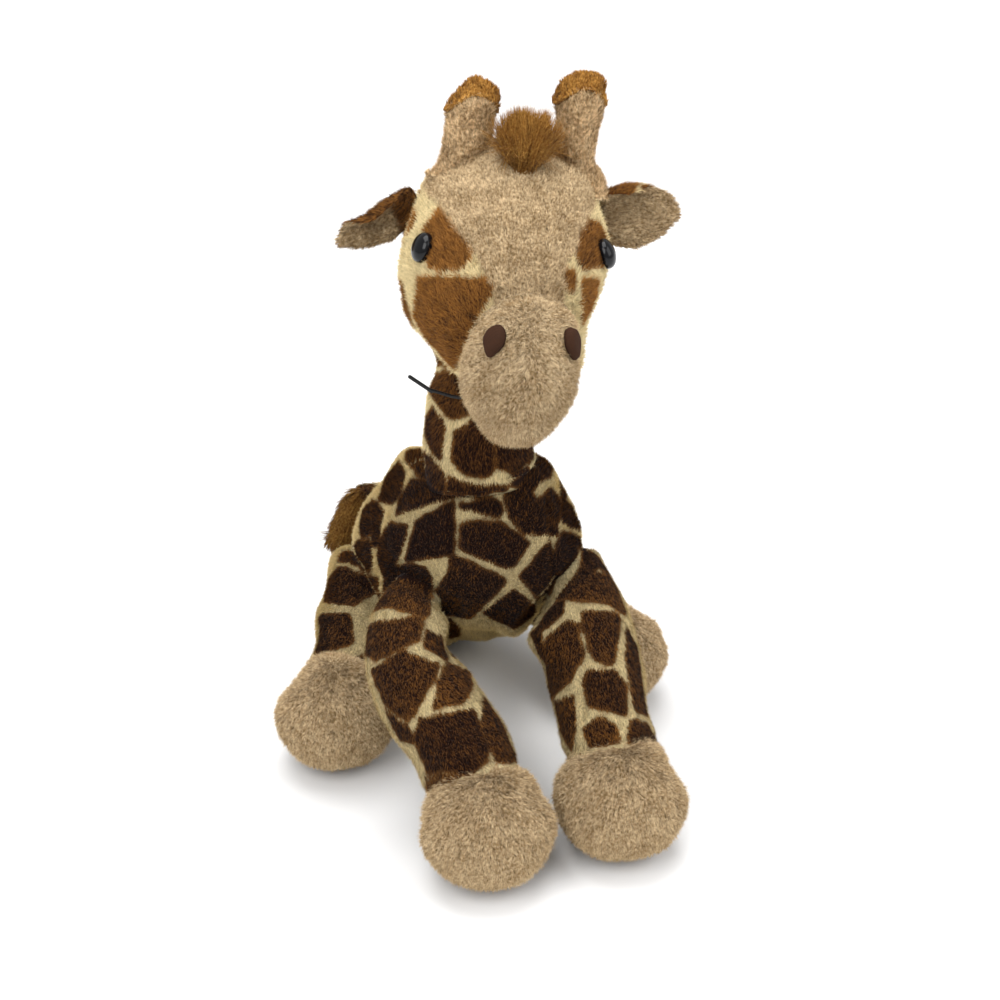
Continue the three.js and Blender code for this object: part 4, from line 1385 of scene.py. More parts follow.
@dataclass
class Neck:
    """The neck in two pieces that meet half-way."""

    hinge: Triple = (-3.0, -85.62, 132.87)
    length: float = 90.0
    half_width: float = 24.0
    half_depth: float = 24.0
    sway: float = 5.0
    spacing: float = 1.3
    seam_gap: float = 4.0
    head_gap: float = 14.0
    shares: Table = (
        (0.0, 0.00, 0.0, 1.02, 1.02), (0.1, 0.07, 0.2, 1.00, 1.00), (0.4, 0.06, 0.46, 0.96, 0.96),
        (0.7, -0.01, 0.72, 1.02, 1.02), (1.0, -0.10, 1.0, 1.03, 1.03),
    )
    patches: Outlines = (
        ((430, 373), (447, 371), (470, 380), (484, 392), (484, 410), (467, 414), (457, 417), (451, 417),
         (445, 413), (439, 405), (430, 391)),
        ((433, 406), (425, 417), (424, 432), (429, 446), (438, 458), (441, 455), (441, 441), (444, 427),
         (442, 419), (436, 413)),
        ((454, 430), (465, 427), (474, 419), (490, 417), (500, 430), (494, 443), (493, 456), (494, 467),
         (491, 473), (481, 476), (467, 474), (457, 467), (452, 460), (453, 446)),
        ((497, 446), (508, 430), (530, 425), (540, 440), (536, 454), (525, 464), (514, 474), (511, 471),
         (498, 467)),
        ((426, 340), (462, 340), (466, 368), (453, 366), (440, 362), (428, 364)),
        ((493, 395), (530, 392), (534, 412), (505, 420), (490, 408)),
        THROAT_PATCH,
        ((418, 444), (433, 460), (444, 474), (444, 494), (430, 494), (418, 480)),
        ((512, 482), (527, 471), (534, 458), (542, 470), (530, 490), (512, 498)),
    )
    pulls: Pulls = (((590, 400), (-8, 0), 70), ((424, 415), (2, 0), 36), ((427, 366), (9, 0), 34))

    def form(self) -> StuffedForm:
        """The neck's rings.

        Returns:
            The form in the common frame.
        """
        x, y, z = self.hinge
        places = [(x + aside * self.sway, y + back * self.length, z + up * self.length)
                  for aside, back, up, _, _ in self.shares]
        sizes = [(wide * self.half_width, deep * self.half_depth) for *_, wide, deep in self.shares]
        return StuffedForm(places, sizes, start_dome=5.0, end_dome=5.0)

    def shape(self, torso: BVHTree, head: BVHTree) -> Skin:
        """The whole neck.

        Args:
            torso: what its foot is sewn to.
            head: what its top is sewn to.

        Returns:
            The closed skin.
        """
        skin = self.form().skin(self.spacing, comb_ahead=-1.0)
        skin.swell(height=0.7, size=18.0, salt=2.0)
        PHOTO.pull(skin, self.pulls)
        skin.tuck(torso, reach=7.0, depth=1.2)
        skin.tuck(head, reach=7.0, depth=1.6)
        skin.sink_into(torso, Z_AXIS, 6.0)
        skin.sink_into(head, -Z_AXIS, 6.0)
        Print(self.patches, warm=0.08, salt=2.0).lay(skin)
        return skin

    def build(self, bench: Bench, torso: BVHTree, head: BVHTree) -> None:
        """Makes both pieces from the one shape, so that they meet without a step.

        Args:
            bench: what they are made with.
            torso: what the foot is sewn to.
            head: what the top is sewn to.
        """
        whole = self.shape(torso, head)
        middle = whole.ring_count // 2
        x, y, low = self.hinge
        split, high = whole.places[middle * whole.step_count][2], low + self.length
        foot = Hold("body", "neck", (x, y, low + self.seam_gap), (x, y, split - self.seam_gap))
        top = Hold("neck", "head", (x, y, split + self.seam_gap), (x, y, high - self.head_gap))
        for name, part, hold in (("neck_foot", slice(0, middle + 1), foot), ("neck_top", slice(middle, None), top)):
            bench.plush(whole.part(part), name, Slot.SPOTTED, hold, SHORT, nodes=["neck"])


@dataclass
class Head:
    """The head with its face panel, muzzle, nostrils, eyes, horns and forelock."""

    hinge: Triple = (2.0, -94.62, 222.87)
    length: float = 96.0
    half_width: float = 40.8
    half_height: float = 44.5
    drop: float = 38.0
    lift: float = 24.0
    forward: float = 8.0
    turn: float = -8.0
    tilt: float = 6.0
    nod: float = -12.0
    middle_share: float = 0.46
    spacing: float = 1.2
    shares: Table = (
        (0.00, 0.00, 0.14, 0.14), (0.05, -0.02, 0.52, 0.52), (0.21, -0.02, 0.86, 0.88), (0.44, 0.08, 1.00, 1.00),
        (0.64, 0.31, 0.96, 0.96), (0.81, 0.62, 0.83, 0.78), (0.94, 0.90, 0.60, 0.52), (1.00, 1.00, 0.24, 0.18),
    )
    muzzle_halves: Triple = (24.3, 26.0, 31.5)
    muzzle_middle: Triple = (0.2, -52.0, -34.5)
    nostril_shares: Triple = (0.6, -0.66, 0.43)
    nostril_half_width: float = 4.4
    nostril_half_height: float = 6.4
    eye_diameter: float = 12.0
    eye_proud: float = 3.6
    eye_sink: float = 1.6
    shank_diameter: float = 4.0
    shank_length: float = 10.0
    eye_places: tuple[Pair, ...] = ((0.55, 0.438), (0.575, 0.078))
    horn_length: float = 43.0
    left_horn_extra: float = 3.5
    horn_root: float = 22.0
    horn_behind: float = 3.0
    horn_base: float = 13.5
    horn_tip: float = 9.8
    horn_spread: float = 22.0
    horn_aside: float = 5.0
    cap_length: float = 18.0
    cap_proud: float = 0.3
    seam_arch: float = 17.0
    arch_reach: float = 20.0
    horn_shares: Table = (
        (0.00, 1.00, 1.00), (0.30, 0.55, 1.00), (0.60, 0.18, 1.00), (0.84, 0.00, 1.00), (0.95, 0.00, 0.82),
        (1.00, 0.00, 0.40),
    )
    forelock_height: float = 25.0
    forelock_half_width: float = 15.0
    forelock_half_depth: float = 10.0
    forelock_forward: float = 22.0
    forelock_root: float = 31.0
    forelock_aside: float = 1.0
    fan_root: Triple = (2, 0, 10)
    fan_fade: Pair = (13.0, 16.0)
    forelock_shares: Table = (
        (0.00, 0.00, 0.30, 0.35), (0.25, 0.02, 0.70, 0.80), (0.55, 0.12, 1.00, 1.00), (0.85, 0.25, 0.85, 0.80),
        (1.00, 0.30, 0.35, 0.30),
    )
    panel_centre: float = 12.0
    crown_bearings: tuple[float, ...] = (105, 130, 150, 168)
    crown_widths: tuple[float, ...] = (31, 24, 15, 0)
    chin_bearing: float = -60.0
    muzzle_lines: Outlines = (((488, 368), (486, 400), (487, 430)), ((498, 392), (515, 395), (533, 393)))
    panel_left: Outline = ((413, 186), (438, 206), (449, 220), (456, 230), (472, 253), (476, 260), (484, 276),
                           (494, 289))
    panel_right: Outline = ((610, 191), (594, 213), (581, 236), (577, 256), (567, 264), (566, 287))
    patches: Outlines = (
        ((438, 208), (448, 221), (462, 234), (471, 250), (469, 261), (461, 270), (440, 272), (428, 267),
         (427, 254), (427, 240), (424, 231), (431, 221)),
        ((418, 280), (493, 281), (495, 289), (479, 314), (462, 352), (454, 371), (437, 364), (414, 318)),
        ((397, 278), (402, 284), (409, 312), (414, 326), (407, 322), (400, 300)),
        ((401, 207), (412, 203), (416, 214), (413, 226), (403, 238), (401, 232)),
        ((590, 220), (613, 234), (612, 262), (600, 268), (583, 270), (577, 255), (581, 235)),
        ((600, 211), (606, 196), (611, 203), (611, 214)),
        ((566, 271), (576, 276), (575, 293), (567, 290)),
        ((583, 281), (600, 283), (594, 315), (583, 327)),
    )
    pulls: Pulls = (
        ((606, 297), (-8, 0), 48), ((590, 330), (-15, 0), 42), ((406, 325), (-9, 0), 40), ((588, 180), (2, -12), 36),
        ((408, 280), (-3, 0), 45), ((428, 168), (-3, 0), 30),
    )
    horn_pulls: Pulls = (
        ((452, 84), (7, 5), 30), ((497, 96), (6, 0), 28), ((606, 145), (-7, 0), 45), ((553, 94), (-5, 1), 24),
        ((432, 128), (1, 0), 38), ((424, 172), (-9, 0), 30), ((604, 165), (-5, 0), 28), ((600, 80), (3, -2), 20),
    )
    muzzle_pulls: Pulls = (
        ((585, 385), (-8, -2), 50), ((588, 345), (-6, 0), 40),
        ((562, 428), (-7, -6), 45), ((525, 450), (0, -4), 45), ((474, 422), (4, 0), 40),
    )

    def frame(self) -> Array:
        """From the head's own frame to the common one.

        Returns:
            A 4 by 4 matrix.
        """
        matrix = np.eye(4)
        matrix[:3, 3] = np.array(self.hinge) + [0, -self.forward, self.lift]
        for axis, degrees in (("Z", self.turn), ("Y", self.tilt), ("X", self.nod)):
            matrix = matrix @ np.array(Matrix.Rotation(math.radians(degrees), 4, axis))
        return matrix

    def turned(self, vector: Array) -> Array:
        """A direction of the head's own frame in the common one."""
        return self.frame()[:3, :3] @ vector

    def form(self) -> StuffedForm:
        """The head's rings, from the back to the nose.

        Returns:
            The form in the common frame.
        """
        places = [(0.0, (self.middle_share - front) * self.length, -down * self.drop)
                  for front, down, _, _ in self.shares]
        sizes = [(wide * self.half_width, high * self.half_height) for _, _, wide, high in self.shares]
        return StuffedForm(places, sizes, matrix=self.frame(), start_dome=1.5, end_dome=1.5)

    def bearing(self, local: Array) -> Array:
        """How far over the head places lie, in degrees from straight ahead."""
        return np.degrees(np.arctan2(local[:, 2] + self.panel_centre, -local[:, 1]))

    def panel(self, skin: Skin) -> Array:
        """The tan panel that runs from the muzzle over the crown.

        Args:
            skin: the head's skin.

        Returns:
            How much each point belongs to the panel.
        """
        tree, inverse = skin.tree(), np.linalg.inv(self.frame())
        local = carry(inverse, skin.places)
        angle = self.bearing(local)
        edges = []
        for line, hand in ((self.panel_left, -1), (self.panel_right, 1)):
            landed = carry(inverse, PHOTO.land(tree, line))
            bearing = self.bearing(landed)
            order = np.argsort(bearing)
            bearings = np.concatenate([bearing[order], self.crown_bearings])
            widths = np.concatenate([landed[order, 0], [hand * width for width in self.crown_widths]])
            edges.append(np.interp(angle, bearings, widths))
        within = np.minimum(local[:, 0] - edges[0], edges[1] - local[:, 0])
        soft = ease(-0.5, 0.5, within + ripple(skin.places, 4.0, 3.3) * 0.4)
        return np.where(angle < self.chin_bearing, 0.0, soft)

    def shape(self) -> Skin:
        """The head's skin with its lumps.

        Returns:
            The closed skin.
        """
        skin = self.form().skin(self.spacing, comb_ahead=-1.0)
        skin.swell(height=0.8, size=22.0, salt=3.0)
        PHOTO.pull(skin, self.pulls)
        return skin

    def build(self, bench: Bench, neck: BVHTree, ears: Sequence[BVHTree]) -> None:
        """Makes every piece that rides on the head.

        Args:
            bench: what they are made with.
            neck: the form under the head.
            ears: the forms beside it.
        """
        skin = self.shape()
        tree = skin.tree()
        muzzle = Egg(self.muzzle_middle, self.muzzle_halves, -Y_AXIS, self.frame()).skin(1.1)
        PHOTO.pull(muzzle, self.muzzle_pulls)
        for limb in (muzzle.tree(), neck, *ears):
            skin.tuck(limb, reach=6.0, depth=1.6)
        self.eyes(bench, skin)
        skin.values["panel"] = self.panel(skin)
        Print(self.patches, warm=0.6, salt=3.0, spacing=22.0, fill_seen=False).lay(skin)
        bench.plush(skin, "head", Slot.SPOTTED, Hold("head"), FACE)
        self.muzzle(bench, muzzle, tree)
        self.horns(bench, tree)
        self.forelock(bench, tree)

    def muzzle(self, bench: Bench, skin: Skin, head: BVHTree) -> None:
        """The egg of tan plush over the front of the head, with its two nostrils of cloth.

        Args:
            bench: what they are made with.
            skin: the egg's skin.
            head: what it is sewn to.
        """
        skin.swell(height=0.7, size=16.0, salt=4.0)
        # Painted shade: the muzzle is darkened, as its lower side faces away from the lamps.
        skin.tone(0.15)
        tree = skin.tree()
        for line, depth in zip(self.muzzle_lines, (0.7, 0.6)):
            skin.crease(PHOTO.land(tree, line), width=4.0, depth=depth)
        heading = self.turned(unit(np.array([0.0, -0.8, -0.6])))
        skin.comb = unit(unit(skin.comb) * 0.35 - Z_AXIS * 0.65)
        skin.tuck(head, reach=5.0, depth=1.5)
        skin.sink_into(head, heading, 4.0)
        bench.plush(skin, "muzzle", Slot.TAN, Hold("head"), TAN_COAT)
        for name, hand in SIDES:
            self.nostril(bench, tree, name, hand)

    def nostril(self, bench: Bench, muzzle: BVHTree, name: str, hand: int) -> None:
        """A drop of dark cloth, pointed below, that lies on the muzzle.

        Args:
            bench: what it is made with.
            muzzle: the surface that it lies on.
            name: its side's name.
            hand: -1 for the right and 1 for the left.
        """
        steps, rings, point_share, puff, lift, back_lift, back_share, reach = 36, 7, 0.38, 2.2, 1.5, 0.2, 0.96, 12
        halves = np.array(self.muzzle_halves)
        aside, front, up = self.nostril_shares
        share = unit(np.array([hand * aside, front, up]))
        place = carry(self.frame(), share * halves + np.array(self.muzzle_middle))
        out = self.turned(unit(share / halves))
        rise = unit(Z_AXIS - out * out[2])
        across = np.cross(rise, out)
        turns = turns_of(steps)
        wide = self.nostril_half_width * np.cos(turns) * (1 - point_share * ease(0.1, -1.0, np.sin(turns)))
        high = self.nostril_half_height * np.sin(turns)
        grid = []
        for front_side, order in ((True, range(1, rings + 1)), (False, range(rings, 0, -1))):
            for k in order:
                size = k / rings * (1.0 if front_side else back_share)
                height = puff * (1 - size ** 5) ** 0.5 + lift if front_side else back_lift
                row = []
                for w, h in zip(wide * size, high * size):
                    point = place + across * w + rise * h
                    hit = muzzle.ray_cast(Vector(point + out * reach), Vector(-out))[0]
                    row.append((np.array(hit) if hit is not None else point) + out * height)
                grid.append(row)
        grid = np.array(grid)
        skin = Skin(grid, np.array([grid[0].mean(0), grid[-1].mean(0)]), out)
        piece = skin.make(f"nostril_{name}_cloth", bench.finishes[Slot.NOSTRIL])
        bench.plain(piece, [f"nostril_{name}"], Hold("head"))

    def eyes(self, bench: Bench, head: Skin) -> None:
        """Two domes on shanks, each in a dimple of the plush.

        Args:
            bench: what they are made with.
            head: the head's skin, which they press in.
        """
        steps, rim, dip_depth = 48, 0.3, 1.4
        radius, shank = self.eye_diameter / 2, self.shank_diameter / 2
        outline = [(0.6 * shank, -self.shank_length), (shank, -self.shank_length + 0.5), (shank, -0.4),
                   (shank + 0.4, 0.0), (radius - rim, 0.0), (radius, rim)]
        outline += [(radius * math.cos(a), self.eye_sink + self.eye_proud * math.sin(a))
                    for a in np.linspace(0, math.pi / 2, 14)[:-1]]
        turns = turns_of(steps)
        for name, (along, turn) in zip(("right", "left"), self.eye_places):
            seat, out = self.form().on_skin(along, turn, self.eye_sink)
            rise = unit(Z_AXIS - out * out[2])
            across = np.cross(out, rise)
            flat = across * np.cos(turns)[:, None] + rise * np.sin(turns)[:, None]
            grid = np.array([seat + flat * r + out * h for r, h in outline])
            poles = np.array([seat - out * self.shank_length, seat + out * (self.eye_sink + self.eye_proud)])
            skin = Skin(grid, poles, out)
            if (skin.normals()[-1] @ out) < 0:
                skin.quads, skin.tris = skin.quads[:, ::-1], skin.tris[:, ::-1]
            piece = skin.make(f"eye_{name}_dome", bench.finishes[Slot.EYE])
            bench.plain(piece, [f"eye_{name}"], Hold("head"))
            near = np.linalg.norm(head.places - seat, axis=1)
            dip = 1 - ease(radius - 1.0, radius + 4.0, near)
            head.places -= out * (dip * dip_depth)[:, None]
            head.furred *= ease(radius - 1.2, radius - 0.2, near)

    def horns(self, bench: Bench, head: BVHTree) -> None:
        """Two stubs of tan plush, each with a cap of longer gold pile.

        Args:
            bench: what they are made with.
            head: what the stubs are sewn to.
        """
        for name, hand, extra in (("right", -1, 0.0), ("left", 1, self.left_horn_extra)):
            length = self.horn_length + extra
            foot = np.array([hand * self.horn_spread + self.horn_aside, self.horn_behind, self.horn_root])
            places = [foot + [0, 0, up * length] for up, _, _ in self.horn_shares]
            radii = [(self.horn_tip + (self.horn_base - self.horn_tip) * flare) * full
                     for _, flare, full in self.horn_shares]
            seam = 1 - self.cap_length / length
            stub = StuffedForm(places, [(r, r) for r in radii], matrix=self.frame(), start_dome=1.0)
            skin = stub.skin(1.0, (0.0, seam))
            self.arch_seam(skin, foot, seam * length)
            skin.swell(height=0.5, size=9.0, salt=5.0 + hand)
            # Painted light: the stubs are lightened, as their upright sides get little of the lamp overhead.
            skin.tone(-0.75)
            PHOTO.pull(skin, self.horn_pulls)
            skin.tuck(head, reach=4.0, depth=1.2)
            skin.sink_into(head, self.frame()[:3, 2], 4.0)
            bench.plush(skin, f"horn_{name}", Slot.TAN, Hold("head"), HORN_COAT)
            fuller = [(r + self.cap_proud, r + self.cap_proud) for r in radii]
            cap = StuffedForm(places, fuller, matrix=self.frame(), start_dome=0.5, end_dome=1.2)
            top = cap.skin(1.0, (seam + 0.01, 1.0))
            self.arch_seam(top, foot, seam * length)
            PHOTO.pull(top, self.horn_pulls)
            bench.plush(top, f"horn_cap_{name}", Slot.GOLD, Hold("head"), LONG)

    def arch_seam(self, skin: Skin, foot: Array, seam: float) -> None:
        """Lets a cap's seam run higher in front and behind than on the horn's two sides.

        Args:
            skin: the stub or the cap.
            foot: the middle of the horn's root.
            seam: the seam's height over it in mm.
        """
        local = carry(np.linalg.inv(self.frame()), skin.places) - foot
        near = 1 - ease(0.0, self.arch_reach, np.abs(local[:, 2] - seam))
        drop = self.seam_arch * ((local[:, 0] / self.horn_tip) ** 2 - 0.35) * near
        skin.places -= self.frame()[:3, 2] * drop[:, None]

    def forelock(self, bench: Bench, head: BVHTree) -> None:
        """A fan of long gold fur from the brow.

        Args:
            bench: what it is made with.
            head: what its root is sewn to.
        """
        places = [(self.forelock_aside, back * self.forelock_height - self.forelock_forward,
                   self.forelock_root + up * self.forelock_height) for up, back, _, _ in self.forelock_shares]
        sizes = [(0.5 * wide * self.forelock_half_width, 0.5 * deep * self.forelock_half_depth)
                 for *_, wide, deep in self.forelock_shares]
        form = StuffedForm(places, sizes, matrix=self.frame(), start_dome=0.5, end_dome=1.0)
        skin = form.skin(0.9, (0.0, 0.5))
        skin.sink_into(head, self.frame()[:3, 2], 3.0)
        root = carry(self.frame(), np.array(places[0]) - self.fan_root)
        skin.comb = unit(skin.places - root)
        skin.furred *= ease(*self.fan_fade, np.linalg.norm(skin.places - root, axis=1))
        skin.tone(0.42)
        bench.plush(skin, "forelock", Slot.GOLD, Hold("head"), LOCK)


RIGHT_EAR: Outlines = (
    ((420, 180), (404, 186), (380, 197), (352, 214), (336, 228), (340, 238), (352, 233), (376, 221), (392, 216),
     (400, 217), (396, 240), (412, 244), (420, 214)),
)
LEFT_EAR: Outlines = (
    ((603, 181), (618, 181), (634, 184), (628, 200), (617, 211), (607, 213)),
    ((642, 186), (656, 186), (669, 193), (660, 197), (644, 193)),
)


@dataclass
class Ear:
    """A leaf of plush, printed behind and tan in front, whose upper edge curls forward over its lining."""

    name: str
    hand: int
    drop: float
    root: Pair
    length: float
    curl_from: float
    curl_angles: Pair
    curl_fade: Pair
    low_share: float
    lined_from: float
    bare_root: float
    lining_length: float
    lining_start: float
    patches: Outlines
    pulls: Pulls
    half_width: float = 15.2
    half_thickness: float = 3.2
    root_radius: float = 6.0
    fold_depth: float = 2.6
    fold_reach: float = 5.5
    most_curl: float = 2.9
    lining_half_width: float = 10.2
    lining_half_thickness: float = 1.3
    lining_lift: float = 2.6
    shares: Table = (
        (0.00, 0.46, 1.00), (0.22, 0.88, 1.00), (0.52, 1.00, 0.95), (0.82, 0.70, 0.80), (1.00, 0.22, 0.45),
    )
    lining_shares: Table = (
        (0.00, 0.40, 0.30), (0.22, 0.88, 0.80), (0.52, 1.00, 1.00), (0.82, 0.70, 0.75), (1.00, 0.20, 0.25),
    )

    def hinge(self, head: Head) -> Array:
        """The middle of the ear's root, under the head's skin."""
        return head.form().on_skin(*self.root, self.root_radius / 2)[0]

    def reach(self) -> Array:
        """From the ear's root to its tip, in the head's own frame."""
        return np.array([self.hand * self.length, 0.0, -self.drop])

    def axes(self, head: Head) -> Array:
        """The ear's own directions in the common frame.

        Args:
            head: what it is sewn to.

        Returns:
            The directions to its tip, up across it, and to its front.
        """
        along = unit(self.reach())
        across = unit(Z_AXIS - along * along[2])
        return np.stack([along, across, -Y_AXIS]) @ head.frame()[:3, :3].T

    def forms(self, head: Head) -> tuple[StuffedForm, StuffedForm]:
        """The leaf and the lining before the edge curls.

        Args:
            head: what the ear is sewn to.

        Returns:
            Both forms in the common frame.
        """
        root, reach = carry(np.linalg.inv(head.frame()), self.hinge(head)), self.reach()
        places = [root + reach * out for out, _, _ in self.shares]
        sizes = [(wide * self.half_width, thick * self.half_thickness) for _, wide, thick in self.shares]
        leaf = StuffedForm(places, sizes, side=Z_AXIS, matrix=head.frame(), start_dome=1.0, end_dome=1.5)
        shares = [self.lining_start + out * self.lining_length / self.length for out, _, _ in self.lining_shares]
        inner = [root + reach * share - Y_AXIS * self.lining_lift for share in shares]
        thin = [(wide * self.lining_half_width, thick * self.lining_half_thickness)
                for _, wide, thick in self.lining_shares]
        return leaf, StuffedForm(inner, thin, side=Z_AXIS, matrix=head.frame(), start_dome=0.5, end_dome=0.5)

    def curl(self, skin: Skin, head: Head) -> None:
        """Folds a lengthwise hollow into the front and curls the upper edge forward.

        Args:
            skin: the leaf or the lining.
            head: what the ear is sewn to.
        """
        axes, hinge = self.axes(head), self.hinge(head)
        out, up, front = ((skin.places - hinge) @ axis for axis in axes)
        share = out / self.length
        hollow = (1 - ease(0.0, self.fold_reach, np.abs(up + 1.0))) * (1 - ease(0.5, 0.85, share))
        front = front - hollow * self.fold_depth * ease(-2.0, 3.0, front)
        tight, loose = self.curl_angles
        most = tight + (loose - tight) * ease(*self.curl_fade, share)
        radius = (self.half_width - self.curl_from) / most
        angle = np.clip((up - self.curl_from) / radius, 0, self.most_curl)
        arm = np.maximum(radius - front, 0.3)
        bent = up > self.curl_from
        up = np.where(up < 0, up * self.low_share, up)
        up = np.where(bent, self.curl_from + arm * np.sin(angle), up)
        front = np.where(bent, radius - arm * np.cos(angle), front)
        skin.places = hinge + out[:, None] * axes[0] + up[:, None] * axes[1] + front[:, None] * axes[2]

    def build(self, bench: Bench, head: Head, head_tree: BVHTree) -> None:
        """Makes the leaf and the lining.

        Args:
            bench: what they are made with.
            head: what the ear is sewn to.
            head_tree: its surface.
        """
        skin, inner = (form.skin(0.8) for form in self.forms(head))
        (away, _, front), hinge = self.axes(head), self.hinge(head)
        hold = Hold("head", f"ear_{self.name}", tuple(hinge + away * 2.0), tuple(hinge + away * 12.0))
        out = (skin.places - hinge) @ away
        skin.values["panel"] = ease(self.lined_from, self.lined_from + 0.25, skin.normals() @ front) * ease(
            self.bare_root, self.bare_root + 2.0, out)
        inner.tone(0.1)
        for part in (skin, inner):
            self.curl(part, head)
            PHOTO.pull(part, self.pulls)
        Print(self.patches, warm=0.5, salt=6.0 + self.hand, spacing=19.0, largest=16.0, line_width=3.6).lay(skin)
        skin.tuck(head_tree, reach=4.0, depth=1.0)
        for part, kind, slot, fill in ((skin, "ear", Slot.SPOTTED, 0.5), (inner, "ear_lining", Slot.TAN, 0.4)):
            part.sink_into(head_tree, away, 4.0)
            bench.plush(part, f"{kind}_{self.name}", slot, hold, SMALL)


@dataclass
class Leg:
    """A leg of printed plush with a round tan hoof on its end."""

    name: str
    hinge: Array
    hoof_place: Array
    hoof_halves: Triple
    form: StuffedForm
    patches: Outlines
    seams: Outlines
    pulls: Pulls
    hoof_pulls: Pulls
    salt: float
    spacing: float = 1.25
    hoof_spacing: float = 1.2
    bend_from: float = 10.0
    bend_length: float = 26.0

    def shape(self, spacing: float) -> Skin:
        """The leg from the hip or shoulder to the middle of the hoof, with its lumps.

        Args:
            spacing: distance between points in mm.

        Returns:
            The closed skin.
        """
        skin = self.form.skin(spacing)
        skin.swell(height=1.0, size=20.0, salt=self.salt)
        PHOTO.pull(skin, self.pulls)
        return skin

    def hoof(self) -> Skin:
        """The hoof before its seam is drawn in.

        Returns:
            The closed skin.
        """
        skin = Egg(self.hoof_place, self.hoof_halves).skin(self.hoof_spacing)
        skin.swell(height=0.9, size=18.0, salt=self.salt + 0.5)
        PHOTO.pull(skin, self.hoof_pulls)
        return skin

    def build(self, bench: Bench, torso: BVHTree) -> None:
        """Makes the leg and its hoof.

        Args:
            bench: what they are made with.
            torso: what the leg is sewn to.
        """
        hoof, skin = self.hoof(), self.shape(self.spacing)
        hoof_tree, tree = hoof.tree(), skin.tree()
        for seam in self.seams:
            skin.crease(PHOTO.land(tree, seam), width=4.0, depth=1.0)
        outward, onward = (SmoothLine(self.form.places).heading(np.array([share]))[0] for share in (0.3, 0.8))
        skin.tuck(torso, reach=8.0, depth=2.0)
        skin.tuck(hoof_tree, reach=5.0, depth=1.4)
        skin.sink_into(torso, outward, 6.0)
        skin.sink_into(hoof_tree, -onward, 4.0)
        skin.press_flat()
        hoof.tuck(tree, reach=5.0, depth=1.4)
        hoof.press_flat()
        Print(self.patches, warm=0.2, salt=self.salt).lay(skin)
        start = self.hinge + outward * self.bend_from
        hold = Hold("body", self.name, tuple(start), tuple(start + outward * self.bend_length))
        bench.plush(skin, self.name, Slot.SPOTTED, hold, SHORT)
        bench.plush(hoof, self.name.replace("_leg_", "_hoof_"), Slot.TAN, Hold(self.name), TAN_COAT)


THIGH_PATCHES: Outlines = (
    ((562, 598), (575, 585), (588, 575), (597, 572), (609, 571), (618, 589), (627, 611), (625, 613), (610, 603),
     (591, 600)),
    ((580, 541), (591, 551), (603, 558), (610, 565), (608, 569), (598, 567), (590, 574), (578, 584), (570, 590),
     (575, 575), (583, 562)),
)


@dataclass
class LegPair:
    """Two legs of one kind. What differs between them is given for the right one and then for the left one."""

    kind: str
    half_width: float
    hinge: Triple
    hoof_halves: Triple
    hoof_up: float
    hoof_aside: Pair
    reach: Pair
    bends: tuple[Triple, Triple]
    shares: Table
    side: Array
    root_dome: float
    salt: float
    patches: tuple[Outlines, Outlines]
    seams: tuple[Outlines, Outlines]
    pulls: tuple[Pulls, Pulls]
    hoof_pulls: tuple[Pulls, Pulls]

    def legs(self) -> list[Leg]:
        """Both legs.

        Returns:
            The right one and the left one.
        """
        aside, back, up = self.hinge
        sizes = [(full * self.half_width, full * self.half_width) for *_, full in self.shares]
        made = []
        for index, (name, hand) in enumerate(SIDES):
            hinge = np.array([hand * aside, back, up])
            hoof = np.array([hand * self.hoof_aside[index], back - self.reach[index], self.hoof_up])
            bend = np.array(self.bends[index])
            places = [hinge + (hoof - hinge) * share + bend * out for share, out, _ in self.shares]
            form = StuffedForm(places, sizes, side=self.side, start_dome=self.root_dome)
            made.append(Leg(f"{self.kind}_leg_{name}", hinge, hoof, self.hoof_halves, form, self.patches[index],
                            self.seams[index], self.pulls[index], self.hoof_pulls[index], self.salt + index))
        return made


